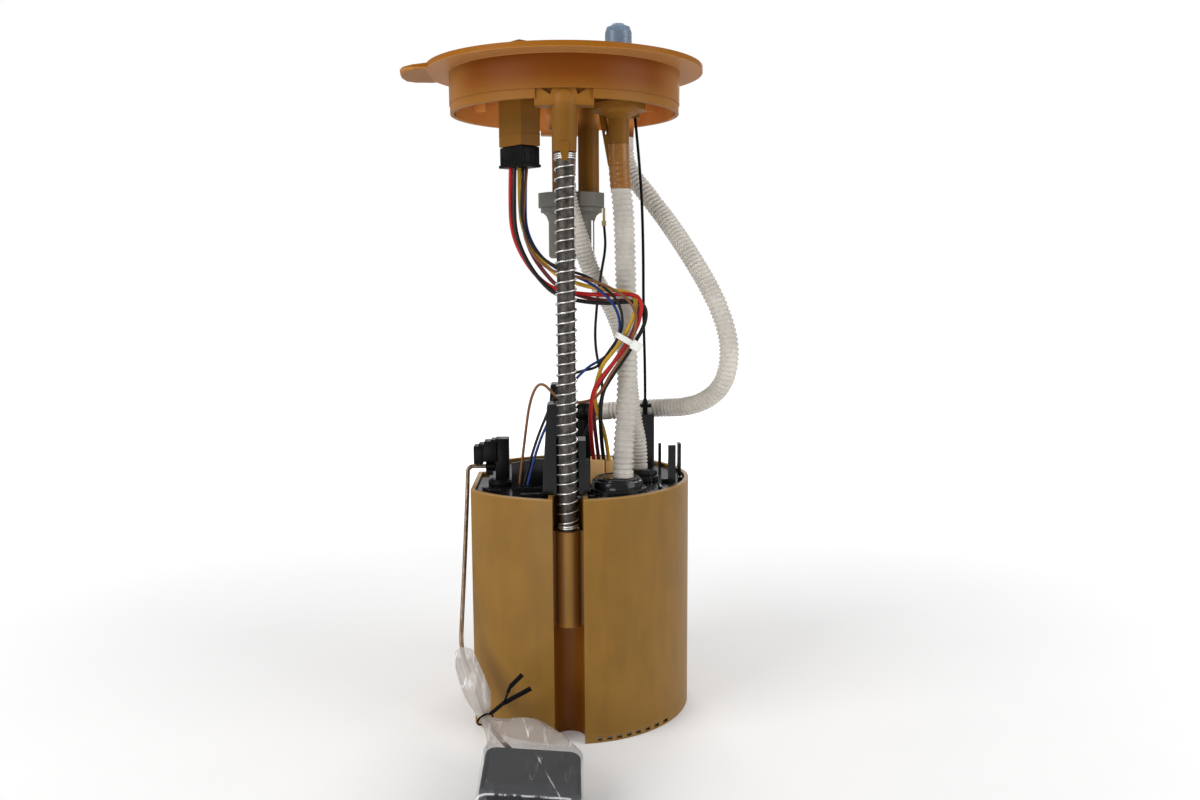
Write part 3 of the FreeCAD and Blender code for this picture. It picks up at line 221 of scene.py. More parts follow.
class Recipe:
    """One material's node tree, built from a few short calls."""

    def __init__(self, name):
        self.material = bpy.data.materials.new(name)
        self.material.use_nodes = True
        self.tree = self.material.node_tree
        self.tree.nodes.clear()

    def feed(self, socket, value):
        """Links a value into a socket, or sets the socket to a plain number or colour."""
        if isinstance(value, Value):
            value = value.socket
        if isinstance(value, bpy.types.NodeSocket):
            self.tree.links.new(value, socket)
        elif socket.type == "RGBA":
            socket.default_value = (*value[:3], 1)
        else:
            socket.default_value = value

    def node(self, kind, settings=None, values=None):
        made = self.tree.nodes.new(kind)
        for key, setting in (settings or {}).items():
            setattr(made, key, setting)
        for key, value in (values or {}).items():
            self.feed(made.inputs[key], value)
        return made

    def place(self, stretch=(1, 1, 1)):
        """Object coordinates in millimetres, stretched along the axes."""
        coords = self.node("ShaderNodeTexCoord")
        scale = tuple(1000 * s for s in stretch)
        values = {"Vector": coords.outputs["Object"], "Scale": scale}
        return self.node("ShaderNodeMapping", None, values).outputs[0]

    def noise(self, scale, detail=3.0, rough=0.5, stretch=(1, 1, 1)):
        values = {"Vector": self.place(stretch), "Scale": scale, "Detail": detail, "Roughness": rough}
        made = self.node("ShaderNodeTexNoise", None, values)
        return Value(self, made.outputs["Fac"])

    def blend(self, amount, low, high):
        """A colour between low and high."""
        return self.node("ShaderNodeMix", {"data_type": "RGBA"}, {0: amount, 6: low, 7: high}).outputs[2]

    def bump(self, height, strength, distance=0.0002, edge=0.0):
        """Relief over the surface; an edge above 0 also rounds sharp corners by that radius."""
        values = {"Height": height, "Strength": strength, "Distance": distance}
        if edge:
            values["Normal"] = self.node("ShaderNodeBevel", {"samples": 4}, {"Radius": edge}).outputs[0]
        return self.node("ShaderNodeBump", None, values).outputs[0]

    def xyz(self):
        """The place on the object in millimetres, as three numbers."""
        split = self.node("ShaderNodeSeparateXYZ", None, {"Vector": self.place()})
        return [Value(self, socket) for socket in split.outputs]

    def finish(self, **sockets):
        shader = self.node("ShaderNodeBsdfPrincipled")
        for key, value in sockets.items():
            self.feed(shader.inputs[key.replace("_", " ")], value)
        out = self.node("ShaderNodeOutputMaterial")
        self.tree.links.new(shader.outputs[0], out.inputs[0])
        return self.material


def shade(colour, factor):
    return tuple(min(1.0, c * factor) for c in colour[:3])


def cloudy(r, mix, colour):
    return r.blend(mix, shade(colour, 0.88), shade(colour, 1.10))


def moulded(name, colour, rough=0.42, glow=0.0, grain=0.3, tint=cloudy, shine=0.3):
    """Moulded plastic with fine grain and a few soft flow marks; tint gives its colour, by place or not."""
    r = Recipe(name)
    cloud = r.noise(0.035, 3.0)
    flow = r.noise(0.16, 2.0, stretch=(1, 1, 0.25))
    fine = r.noise(2.6, 2.0)
    mix = (cloud * 0.6 + flow * 0.4).above(0.30, 0.72)
    return r.finish(Base_Color=tint(r, mix, colour),
                    Roughness=rough + (fine - 0.5) * 0.16 + (cloud - 0.5) * 0.10,
                    Normal=r.bump(fine * 0.7 + flow * 0.3, grain, 0.00012, 0.00035),
                    Specular_IOR_Level=shine, Subsurface_Weight=glow,
                    Subsurface_Radius=(0.004, 0.0022, 0.0008), Subsurface_Scale=1.0)


def cover_light_and_shade(r, mix, colour):
    """Painted light and shade on the flange cover: the upper skirt deep orange as painted shade under the
    disc, its ends paler and its far inner wall bright orange as painted light, the low parts at the back
    deeper orange as painted shade, the disc's underside lighter as painted light; tan on the boss and the
    socket.
    """
    x, y, z = r.xyz()
    # Painted shade: the skirt turns from tan low down to deep orange just under the disc.
    skirt = r.blend(z.above(292.0, 304.0), (0.270, 0.112, 0.016), colour)
    # Painted light: both ends of the skirt paler tan, for light falling on them from the sides.
    skirt = r.blend(x.size().above(38.0, 56.0), skirt, (0.330, 0.140, 0.032))
    # Painted light: the inner wall of the skirt at the back bright orange, for light coming through the
    # plastic.
    far = y.above(2.0, 6.0) * (1 - (x * x + y * y).op("SQRT").above(53.2, 53.8))
    skirt = r.blend(far, skirt, (0.80, 0.34, 0.09))
    # Painted shade: the low parts at the back deeper orange than those at the front.
    low = r.blend(y.above(2.0, 26.0), (0.195, 0.082, 0.009), (0.190, 0.048, 0.003))
    base = r.blend(z.above(286.0, 293.0), low, skirt)
    # Painted light: the disc's underside lighter orange than its top, for light coming through the disc.
    disc = r.blend(z.above(311.4, 311.8), (0.45, 0.205, 0.062), (0.300, 0.105, 0.006))
    return r.blend(z.above(310.9, 311.05), base, disc)


def cup_tint_and_shading(r, mix, colour):
    """Darker, redder plastic in the channels as painted shade, a paler foot, and a pale line along the top of
    the rim as a painted highlight.
    """
    x, y, z = r.xyz()
    depth = y.size()
    # Painted shade: the plastic in the channels darker and redder, darkest above the socket.
    inside = (1 - x.size().above(6.3, 6.6)) * depth.above(40, 44) * (1 - depth.above(55.2, 56.0))
    base = r.blend((1 - z.above(0.5, 6.0)) * 0.35, cloudy(r, mix, colour), (0.33, 0.19, 0.06))
    # Painted shade colours in the channels: redder low down, darker higher up, near black above the socket.
    deep = r.blend(z.above(52.0, 58.0), (0.255, 0.083, 0.007), (0.135, 0.050, 0.006))
    base = r.blend(inside, base, r.blend(z.above(99.6, 99.9), deep, (0.060, 0.025, 0.004)))
    # Painted highlight: a pale line along the top of the rim.
    return r.blend(z.above(114.6, 115.3) * 0.55, base, (0.42, 0.25, 0.09))


def glossy_black(name):
    r = Recipe(name)
    cloud = r.noise(0.05, 3.0)
    specks = r.noise(1.9, 2.0).above(0.66, 0.74)
    base = r.blend(specks * 0.25, (0.009, 0.009, 0.010), (0.045, 0.044, 0.042))
    return r.finish(Base_Color=base, Roughness=0.16 + (cloud - 0.5) * 0.16 + specks * 0.12,
                    Normal=r.bump(r.noise(0.4, 2.0), 0.16, 0.0003, 0.0004), Specular_IOR_Level=0.22,
                    Coat_Weight=0.16, Coat_Roughness=0.08)


def steel(name, dark, light, rough=0.42, mottle=0.5, metal=0.9):
    """Drawn or plated steel with blotches and fine lengthwise marks."""
    r = Recipe(name)
    blotch = r.noise(0.28, 6.0, 0.62)
    marks = r.noise(2.2, 4.0, 0.6, stretch=(1, 1, 0.08))
    mix = (blotch * (1 - mottle) + marks * mottle).above(0.36, 0.64)
    return r.finish(Base_Color=r.blend(mix, dark, light), Metallic=metal,
                    Roughness=rough + (marks - 0.5) * 0.30, Normal=r.bump(marks, 0.22, 0.00008))


def insulation(name, colour):
    r = Recipe(name)
    cloud = r.noise(0.12, 2.0)
    fine = r.noise(1.6, 3.0)
    base = r.blend(cloud.above(0.3, 0.7), shade(colour, 0.82), shade(colour, 1.15))
    return r.finish(Base_Color=base, Roughness=0.36 + (fine - 0.5) * 0.24,
                    Normal=r.bump(fine, 0.12, 0.00008), Specular_IOR_Level=0.2)


def clear_hose(name, colour, shade_and_tan=False):
    """Translucent nylon: milky, a little yellow; the front hose's copy is duller, as painted shade, and tan
    at its upper end.
    """
    r = Recipe(name)
    cloud = r.noise(0.08, 3.0)
    fine = r.noise(0.5, 2.0)
    # Painted shade: the front hose's copy darker all over.
    dull, bright = (0.78, 0.94) if shade_and_tan else (0.96, 1.14)
    base = r.blend(cloud.above(0.3, 0.7), shade(colour, dull), shade(colour, bright))
    if shade_and_tan:
        base = r.blend(r.xyz()[2].above(255.2, 255.9), base, (0.285, 0.118, 0.018))
    return r.finish(Base_Color=base, Roughness=0.28 + (fine - 0.5) * 0.10,
                    Normal=r.bump(fine, 0.04, 0.0001), Specular_IOR_Level=0.35,
                    Transmission_Weight=0.05 if shade_and_tan else 0.14, IOR=1.42,
                    Subsurface_Weight=0.30, Subsurface_Radius=(0.004, 0.0034, 0.0022), Coat_Weight=0.15,
                    Coat_Roughness=0.20)


def clear_cap(name, colour):
    r = Recipe(name)
    cloud = r.noise(0.10, 3.0)
    foot = 1 - r.xyz()[2].above(316.6, 319.0)
    body = r.blend(cloud.above(0.3, 0.7), shade(colour, 0.85), shade(colour, 1.12))
    base = r.blend(foot * 0.6, body, (0.42, 0.12, 0.06))
    return r.finish(Base_Color=base, Roughness=0.28 + (cloud - 0.5) * 0.12, Transmission_Weight=0.35,
                    IOR=1.45, Subsurface_Weight=0.2, Subsurface_Radius=(0.003, 0.003, 0.003))


def foam(name, colour):
    """Closed cell float foam: fine pores and a darker cut face."""
    r = Recipe(name)
    pores = r.node("ShaderNodeTexVoronoi", None, {"Vector": r.place(), "Scale": 1.1}).outputs["Distance"]
    pore = Value(r, pores).above(0.10, 0.42)
    cloud = r.noise(0.07, 4.0)
    mix = pore * 0.5 + cloud.above(0.3, 0.7) * 0.5
    front = 1 - r.xyz()[1].above(-145.5, -145.0)
    base = r.blend(mix, shade(colour, 0.85), shade(colour, 1.15))
    return r.finish(Base_Color=r.blend(front, base, (0.010, 0.010, 0.012)), Specular_IOR_Level=0.2,
                    Roughness=0.74 + (cloud - 0.5) * 0.2, Normal=r.bump(pore, 0.35, 0.0002))


def film(name):
    """Thin film: milky warm grey where it is gathered, nearly clear on the float, with painted white glints
    (highlights) along its creases.
    """
    r = Recipe(name)
    x, y, z = r.xyz()
    long_creases = r.noise(0.12, 2.0, 0.5, stretch=(1.0, 0.14, 0.20))
    fine_creases = r.noise(0.30, 4.0, 0.6, stretch=(1.0, 0.25, 0.35))
    # Painted highlights: white glints along the long creases, stronger on the tent.
    ridge = (1 - ((long_creases - 0.5) * 2).size() * 26).above(0.40, 0.95)
    ridge = ridge * fine_creases.above(0.48, 0.62)
    veil = fine_creases.above(0.50, 0.72)
    tent = y.above(-107.0, -104.0)
    flare = y.above(-72.0, -68.0)
    front = 1 - y.above(-147.6, -146.9)
    edge = (y + 147.0).size()
    # Painted highlights: white glints along the front lip and along a slanted fold.
    lip = (1 - edge.above(0.25, 0.6)) * z.above(18.0, 19.5) * fine_creases.above(0.38, 0.52)
    slant = (1 - ((y + 105.0) * 0.30 + (x + 16.0)).size().above(0.15, 0.5)) * z.above(17.0, 19.0)
    slant = slant * fine_creases.above(0.45, 0.60) * 0.8
    glint = (ridge * (tent * 0.7 + 0.3) + lip + slant).op("MINIMUM", 1.0)
    warm = r.blend(veil, (0.52, 0.47, 0.43), (0.68, 0.64, 0.61))
    grey = r.blend(tent, (0.30, 0.31, 0.33), warm)
    milky = 0.10 + veil * 0.08 + tent * (0.40 + veil * 0.12) + flare * 0.18 - front * 0.05
    return r.finish(Base_Color=r.blend(glint, grey, (0.90, 0.90, 0.90)), Specular_IOR_Level=0.3,
                    Roughness=0.22 + (fine_creases - 0.5) * 0.1,
                    Alpha=(milky + glint * 0.5).op("MINIMUM", 1.0),
                    Normal=r.bump(long_creases * 0.7 + fine_creases * 0.3, 0.6, 0.0014),
                    Coat_Weight=0.1, Coat_Roughness=0.05)


def cloth(name, colour):
    r = Recipe(name)
    weave = r.noise(1.8, 2.0, stretch=(1, 1, 0.3))
    base = r.blend(weave.above(0.35, 0.65), shade(colour, 0.75), colour)
    return r.finish(Base_Color=base, Roughness=0.8 + (weave - 0.5) * 0.2, Normal=r.bump(weave, 0.5, 0.0003))


FINISHES = {}


def make_finishes(colours):
    """Every material, most of them under the name of their slot in the record."""
    rows = {
        "tan_plastic": (moulded, colours.tan, 0.42, 0.10, 0.25, cup_tint_and_shading, 0.28),
        "amber_plastic": (moulded, colours.amber, 0.42, 0.12, 0.25, cover_light_and_shade, 0.12),
        "bag_film": (film,),
        "grey_plastic": (moulded, colours.grey, 0.48, 0.0, 0.4, cloudy, 0.35),
        "black_plastic": (moulded, (0.004, 0.004, 0.0045), 0.36, 0.0, 0.3, cloudy, 0.08),
        "plug_tan": (moulded, (0.93, 0.56, 0.23), 0.40, 0.10, 0.25, cloudy, 0.28),
        "gloss_black": (glossy_black,),
        "cap_blue": (clear_cap, colours.cap),
        "hose_clear": (clear_hose, colours.hose),
        "hose_stained": (clear_hose, colours.hose, True),
        "rod_steel": (steel, (0.024, 0.021, 0.018), (0.105, 0.093, 0.080), 0.50, 0.35, 0.75),
        "spring_steel": (steel, (0.48, 0.47, 0.45), (0.80, 0.79, 0.77), 0.22, 0.5),
        "arm_steel": (steel, (0.12, 0.075, 0.045), (0.30, 0.22, 0.16), 0.40, 0.5),
        "terminal_metal": (steel, (0.45, 0.33, 0.14), (0.72, 0.58, 0.30), 0.30, 0.5),
        "magnet_dark": (steel, (0.03, 0.03, 0.033), (0.08, 0.08, 0.085), 0.6, 0.3, 0.5),
        "copper_windings": (steel, (0.30, 0.10, 0.04), (0.60, 0.26, 0.10), 0.36, 0.5),
        "filter_cloth": (cloth, (0.72, 0.70, 0.62)),
        "seal_rubber": (moulded, (0.02, 0.02, 0.02), 0.6, 0.0, 0.4),
        "board_ceramic": (moulded, (0.75, 0.74, 0.70), 0.35, 0.0, 0.2),
        "float_grey": (foam, colours.float_foam),
        "tie_white": (moulded, (0.80, 0.79, 0.74), 0.34, 0.15, 0.15),
        "wire_black_skin": (insulation, (0.012, 0.012, 0.013)),
        "wire_red_skin": (insulation, (0.42, 0.013, 0.012)),
        "wire_yellow_skin": (insulation, (0.60, 0.35, 0.03)),
        "wire_maroon_skin": (insulation, (0.15, 0.03, 0.035)),
        "wire_brown_skin": (insulation, (0.20, 0.085, 0.035)),
        "wire_blue_skin": (insulation, (0.014, 0.040, 0.19)),
    }
    for name, (recipe, *values) in rows.items():
        FINISHES[name] = recipe(name, *values)


# Mesh making

def finish_piece(name, bm, slot, body, replaced=(), smooth=50.0):
    """Turns a bmesh into a finished piece with its normals out, its finish and its body."""
    bmesh.ops.remove_doubles(bm, verts=bm.verts, dist=1e-7)
    bmesh.ops.recalc_face_normals(bm, faces=bm.faces)
    mesh = bpy.data.meshes.new(name)
    bm.to_mesh(mesh)
    bm.free()
    piece = bpy.data.objects.new(name, mesh)
    bpy.context.scene.collection.objects.link(piece)
    mesh.materials.append(FINISHES[slot])
    for polygon in mesh.polygons:
        polygon.use_smooth = True
    mesh.set_sharp_from_angle(angle=math.radians(smooth))
    if body:
        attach(piece, body)
    if replaced:
        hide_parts(*replaced)
    return piece


def edges_of(verts):
    return list({e for v in verts for e in v.link_edges})


def rounded_ring(bm, sides, square):
    """A new ring of vertices, each with its angle and its place on a rounded square of half width 1."""
    for i, vert in enumerate(bmesh.ops.create_circle(bm, segments=sides, radius=1.0)["verts"]):
        angle = 2 * math.pi * i / sides
        c, d = math.cos(angle), math.sin(angle)
        reach = (abs(c) ** square + abs(d) ** square) ** (-1 / square)
        yield vert, angle, reach * c, reach * d


def smooth_line(points, steps=16):
    """The points of the smooth spline that a route's points steer, in metres."""
    curve = bpy.data.curves.new("route", "CURVE")
    curve.dimensions = "3D"
    spline = curve.splines.new("NURBS")
    spline.points.add(len(points) - 1)
    for knot, place in zip(spline.points, points):
        knot.co = (*(Vector(place) * MM), 1.0)
    spline.order_u = 3
    spline.use_endpoint_u = True
    spline.resolution_u = steps
    holder = bpy.data.objects.new("route", curve)
    bpy.context.scene.collection.objects.link(holder)
    bpy.context.view_layer.update()
    mesh = bpy.data.meshes.new_from_object(holder.evaluated_get(bpy.context.evaluated_depsgraph_get()))
    line = [v.co.copy() for v in mesh.vertices]
    bpy.data.objects.remove(holder)
    bpy.data.curves.remove(curve)
    bpy.data.meshes.remove(mesh)
    return line


def even_steps(line, step):
    """The same line with points at equal steps along it."""
    lengths = [0.0]
    for a, b in zip(line, line[1:]):
        lengths.append(lengths[-1] + (b - a).length)
    count = max(2, round(lengths[-1] / step))
    stations = []
    index = 0
    for i in range(count + 1):
        want = lengths[-1] * i / count
        while index < len(line) - 2 and lengths[index + 1] < want:
            index += 1
        share = (want - lengths[index]) / max(1e-12, lengths[index + 1] - lengths[index])
        stations.append(line[index].lerp(line[index + 1], share))
    return stations, lengths[-1]


def tube_on(bm, line, radius_at, sides):
    """Extrudes a ring along a line; radius_at gives the radius at a distance travelled."""
    turn = (line[1] - line[0]).to_track_quat("Z", "Y")
    place = Matrix.LocRotScale(line[0], turn, Vector((1, 1, 1)) * radius_at(0.0))
    ring = bmesh.ops.create_circle(bm, segments=sides, radius=1.0, cap_ends=True, matrix=place)["verts"]
    edges = edges_of(ring)
    travelled = 0.0
    along = line[1] - line[0]
    for i in range(1, len(line)):
        step = line[i] - line[i - 1]
        travelled += step.length
        ahead = line[min(i + 1, len(line) - 1)] - line[i - 1]
        turn = along.rotation_difference(ahead) @ turn
        along = ahead
        grown = bmesh.ops.extrude_edge_only(bm, edges=edges)["geom"]
        ring = [g for g in grown if isinstance(g, bmesh.types.BMVert)]
        ring_set = set(ring)
        edges = [g for g in grown if isinstance(g, bmesh.types.BMEdge) and ring_set.issuperset(g.verts)]
        fresh = Matrix.LocRotScale(line[i], turn, Vector((1, 1, 1)) * radius_at(travelled))
        bmesh.ops.transform(bm, matrix=fresh @ place.inverted(), verts=ring)
        place = fresh
    bmesh.ops.contextual_create(bm, geom=edges)


def bend_with_slide(piece):
    """Bakes the piece's place into its mesh."""
    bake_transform(piece)


def ribbed_hose(name, points, diameter, pitch, depth, cuffs, node, faint=0.0):
    """A corrugated hose with plain cuffs at its ends; the ribs are faint over the first stretch."""
    per_rib = 8
    line, length = even_steps(smooth_line(points), pitch / per_rib)
    outer = diameter * MM / 2 - 0.00002
    start, end = cuffs[0] * MM, length - cuffs[1] * MM

    def radius_at(s):
        if s < start or s > end:
            return outer - 0.15 * depth
        wave = 0.5 - 0.5 * math.cos(2 * math.pi * (s - start) / pitch)
        return outer - depth * wave ** 1.6 * (0.35 if s < faint * MM else 1.0)

    bm = bmesh.new()
    tube_on(bm, line, radius_at, 28)
    return finish_piece(name, bm, "hose_clear", None, (node,), 80.0)


def lead(name, points, diameter, slot, node):
    line, length = even_steps(smooth_line(points), 1.2 * MM)
    bm = bmesh.new()
    tube_on(bm, line, lambda s: diameter * MM / 2, 12)
    return finish_piece(name, bm, slot, None, (node,), 80.0)


def block(bm, low, high, bevel=0.0, segments=2, turn=0.0):
    """A box between two corners in millimetres, with rounded edges, turned about its own upright axis."""
    low, high = Vector(low) * MM, Vector(high) * MM
    upright = Matrix.Rotation(turn, 4, "Z")
    place = Matrix.Translation((low + high) / 2) @ upright @ Matrix.Diagonal((*(high - low), 1))
    verts = bmesh.ops.create_cube(bm, size=1.0, matrix=place)["verts"]
    if bevel:
        made = bmesh.ops.bevel(bm, geom=edges_of(verts), offset=bevel * MM, offset_type="OFFSET",
                               affect="EDGES", segments=segments, profile=0.5, material=-1)
        verts = list({v for f in made["faces"] for v in f.verts})
    return verts


def turned(bm, profile, centre, sides=48, axis=(0, 0, 1), angle=2 * math.pi):
    """Spins a profile of radius and height, in millimetres, about an axis through a centre."""
    turn = Vector((0, 0, 1)).rotation_difference(Vector(axis))
    middle = Vector(centre) * MM
    verts = [bm.verts.new(middle + turn @ (Vector((r, 0, z)) * MM)) for r, z in profile]
    edges = [bm.edges.new(pair) for pair in zip(verts, verts[1:])]
    bmesh.ops.spin(bm, geom=verts + edges, cent=middle, axis=turn @ Vector((0, 0, 1)), dvec=(0, 0, 0),
                   angle=angle, steps=sides, use_merge=angle > 6.28, use_duplicate=False)


def helix(bm, centre, radius, wire, z0, z1, open_turns, closed_turns, sides=9, steps=26):
    """Spins a small circle up a coil with closed end turns."""
    start = Matrix.Translation(Vector((centre[0] + radius, centre[1], z0)) * MM)
    lying = Matrix.Rotation(math.pi / 2, 4, "X")
    made = bmesh.ops.create_circle(bm, segments=sides, radius=wire / 2, cap_ends=True, matrix=start @ lying)
    ring = made["verts"]
    geom = ring + edges_of(ring) + list({f for v in ring for f in v.link_faces})
    rise_closed = wire * 1.06 / MM
    rise_open = (z1 - z0 - 2 * closed_turns * rise_closed) / open_turns
    cent = Vector((centre[0], centre[1], 0)) * MM
    for turns, rise in ((closed_turns, rise_closed), (open_turns, rise_open), (closed_turns, rise_closed)):
        count = int(turns * steps)
        made = bmesh.ops.spin(bm, geom=geom, cent=cent, axis=(0, 0, 1), dvec=(0, 0, rise * MM / steps),
                              angle=2 * math.pi * turns, steps=count, use_merge=False, use_duplicate=False)
        geom = made["geom_last"]


# Operators, one for each group of pieces

class PUMPMODULE_OT_finishes(bpy.types.Operator):
    """Makes the materials and puts them on the pieces that stay as in CAD"""
    bl_idname = "pumpmodule.finishes"
    bl_label = "Finishes"

    def execute(self, context):
        make_finishes(context.scene.pump_colours)
        for row in frame["record"]["subparts"]:
            node = frame["nodes"][row["node"]]
            node.data.materials.clear()
            node.data.materials.append(FINISHES[row["material_slot"]])
        return {"FINISHED"}


class PUMPMODULE_OT_hoses(bpy.types.Operator):
    """Builds the three corrugated hoses"""
    bl_idname = "pumpmodule.hoses"
    bl_label = "Hoses"

    def execute(self, context):
        sizes = context.scene.pump_sizes
        front = ribbed_hose("front_hose_ribbed", FRONT_HOSE, 10.0, sizes.front_rib_pitch, sizes.rib_depth,
                            (8.0, 1.5), "front_hose", 20.5)
        front.data.materials[0] = FINISHES["hose_stained"]
        middle = ribbed_hose("middle_hose_ribbed", MIDDLE_HOSE, 9.0, sizes.middle_rib_pitch,
                             sizes.rib_depth * 0.8, (9.0, 2.0), "middle_hose")
        side = ribbed_hose("side_hose_ribbed", SIDE_HOSE, 9.6, sizes.side_rib_pitch, sizes.rib_depth,
                           (6.0, 8.0), "side_hose")
        bend_with_slide(front)
        bend_with_slide(middle)
        bend_with_slide(side)
        return {"FINISHED"}


class PUMPMODULE_OT_leads(bpy.types.Operator):
    """Builds the loom's leads, the ground lead and the tether"""
    bl_idname = "pumpmodule.leads"
    bl_label = "Leads"

    def execute(self, context):
        skins = {"wire_signal": "wire_black_skin"}
        for node, (diameter, low, points) in LEADS.items():
            slot = skins.get(node, node + "_skin")
            piece = lead(node + "_lead", points, diameter, slot, node)
            bend_with_slide(piece)
        ground = lead("ground_lead", GROUND_LEAD, THIN, "wire_black_skin", "ground_wire")
        bend_with_slide(ground)
        tether = lead("tether_line", TETHER, 1.4, "black_plastic", "tether_cord")
        bend_with_slide(tether)
        return {"FINISHED"}


class PUMPMODULE_OT_cable_tie(bpy.types.Operator):
    """Builds the white cable tie that gathers the leads"""
    bl_idname = "pumpmodule.cable_tie"
    bl_label = "Cable Tie"

    def execute(self, context):
        along, across = Vector((-0.503, 0.018, -0.864)), Vector((0.864, 0.0, -0.503))
        deep = across.cross(along).normalized()
        if deep.y < 0:
            deep.negate()
        turn = Matrix((across, deep, along)).transposed().to_4x4()
        place = Matrix.Scale(MM, 4) @ Matrix.Translation((30.1, -39.5, 184.7)) @ turn
        band = 1.3
        bm = bmesh.new()
        rings = []
        # Half width, half height and place along the bundle of the outer and the inner edges.
        for wide, high, rise in ((6.0, 5.5, -band), (6.0, 5.5, band), (5.45, 4.9, band), (5.45, 4.9, -band)):
            ring = []
            for vert, angle, u, v in rounded_ring(bm, 56, 5):
                vert.co = place @ Vector((u * wide - 2.7, v * high + 1.65, rise))
                ring.append(vert)
            rings.append(edges_of(ring))
        for one, other in zip(rings, rings[1:] + rings[:1]):
            bmesh.ops.bridge_loops(bm, edges=one + other)
        lock = block(bm, (-0.4, -6.0, -2.2), (4.4, -3.4, 2.2), 0.5, 3)
        bmesh.ops.transform(bm, matrix=place @ Matrix.Scale(1 / MM, 4), verts=lock)
        tie = finish_piece("cable_tie_loop", bm, "tie_white", None, ("zip_tie",), 40.0)
        bend_with_slide(tie)
        return {"FINISHED"}


class PUMPMODULE_OT_springs(bpy.types.Operator):
    """Coils the two springs on the guide rods"""
    bl_idname = "pumpmodule.springs"
    bl_label = "Springs"

    def execute(self, context):
        wire = context.scene.pump_sizes.spring_wire
        low, top = 99.9, 269.5
        for label, y in (("front", -50.0), ("rear", 50.0)):
            bm = bmesh.new()
            helix(bm, (0, y), 4.52, wire, low + 0.5, top - 0.5, 36, 2.5)
            piece = finish_piece(label + "_spring_coil", bm, "spring_steel", "reservoir",
                                 (label + "_spring",), 80.0)
            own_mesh(piece)
        low, top = 229.9, 243.3
        x, y = 2.8, 8.0
        bm = bmesh.new()
        helix(bm, (x, y), 5.4, 0.8 * MM, low + 0.4, top - 0.4, 5, 2.0)
        piece = finish_piece("regulator_spring_coil", bm, "spring_steel", "flange",
                             ("regulator_spring",), 80.0)
        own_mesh(piece)
        return {"FINISHED"}


def bar(bm, start, end, wide, thick, bevel=0.15):
    """A flat bar from one point to another, in millimetres."""
    start, end = Vector(start) * MM, Vector(end) * MM
    turn = (end - start).to_track_quat("Z", "Y").to_matrix().to_4x4()
    size = Matrix.Diagonal((wide * MM, thick * MM, (end - start).length, 1))
    place = Matrix.Translation((start + end) / 2) @ turn @ size
    verts = bmesh.ops.create_cube(bm, size=1.0, matrix=place)["verts"]
    bmesh.ops.bevel(bm, geom=edges_of(verts), offset=bevel * MM, offset_type="OFFSET", affect="EDGES",
                    segments=2, profile=0.5, material=-1)


class PUMPMODULE_OT_lid_fittings(bpy.types.Operator):
    """Builds the hose caps, the pump plug and the small clips on the lid"""
    bl_idname = "pumpmodule.lid_fittings"
    bl_label = "Lid Fittings"

    def execute(self, context):
        bm = bmesh.new()
        turned(bm, [(2.0, 0.0), (13.5, 0.0), (13.9, 0.4), (13.9, 1.8), (13.4, 2.3), (12.1, 2.4), (12.0, 4.9),
                    (11.6, 5.6), (10.9, 5.9), (10.7, 6.6), (10.3, 6.95), (9.3, 7.0), (9.0, 6.5), (7.2, 6.5),
                    (6.8, 7.0), (2.0, 7.0), (2.0, 0.0)], (23.5, -33.0, LID_TOP), 72)
        finish_piece("front_cap_turned", bm, "gloss_black", "reservoir", ("front_hose_cap",), 35.0)
        bm = bmesh.new()
        turned(bm, [(2.0, 0.0), (9.1, 0.0), (9.4, 0.3), (9.4, 2.0), (9.0, 2.4), (8.6, 2.5), (8.5, 4.6),
                    (8.0, 5.2), (7.4, 5.5), (7.2, 6.0), (2.0, 6.0), (2.0, 0.0)], (36.0, -6.0, LID_TOP), 60)
        finish_piece("rear_cap_turned", bm, "gloss_black", "reservoir", ("side_hose_cap",), 35.0)

        bm = bmesh.new()
        block(bm, (11.1, -16.5, LID_TOP), (17.9, -8.0, 126.0), 0.6, 3)
        block(bm, (18.4, -15.0, LID_TOP), (22.5, -4.0, 125.4), 0.5, 3)
        block(bm, (11.3, -9.0, LID_TOP), (19.0, -4.2, 125.8), 0.5, 3)
        block(bm, (12.0, -15.5, 108.0), (21.5, -5.0, 114.2), 0.3, 2)
        cells = finish_piece("pump_plug_cells", bm, "tan_plastic", "reservoir", ("pump_plug",))
        cells.data.materials[0] = FINISHES["plug_tan"]
        bm = bmesh.new()
        mouth = 1.15 * MM
        for x, y, top in ((12.8, -14.0, 126.03), (15.2, -14.0, 126.03), (20.0, -14.0, 125.43),
                          (17.0, -6.6, 125.83)):
            bmesh.ops.create_cone(bm, cap_ends=True, segments=24, radius1=mouth, radius2=mouth,
                                  depth=0.06 * MM, matrix=Matrix.Translation(Vector((x, y, top)) * MM))
        finish_piece("pump_plug_mouths", bm, "black_plastic", "reservoir")

        bm = bmesh.new()
        sunk = LID_TOP - 0.1
        for turn, radius in ((-75, 55.6), (-48, 55.6), (-27, 55.6), (-6, 55.6), (18, 55.6), (40, 55.6),
                             (215, 51.0)):
            place = Matrix.Translation((2 * MM, 0, 0)) @ Matrix.Rotation(math.radians(turn), 4, "Z")
            made = block(bm, (radius - 2.2, -2.6, sunk), (radius, 2.6, 115.4), 0.3, 2)
            bmesh.ops.transform(bm, matrix=place, verts=made)
        for x, y, wide, deep, high in ((8.0, -49.0, 9.0, 1.2, 1.6), (44.0, -30.0, 1.3, 9.0, 2.2),
                                       (49.0, -14.0, 6.0, 1.2, 1.8), (-16.0, -44.0, 12.0, 1.2, 1.8),
                                       (-35.0, -33.0, 6.0, 1.0, 1.4), (30.0, 12.0, 14.0, 1.2, 3.0)):
            low, top = (x - wide / 2, y - deep / 2, sunk), (x + wide / 2, y + deep / 2, LID_TOP + high)
            block(bm, low, top, 0.25, 2)
        finish_piece("lid_clips", bm, "gloss_black", "reservoir")
        return {"FINISHED"}


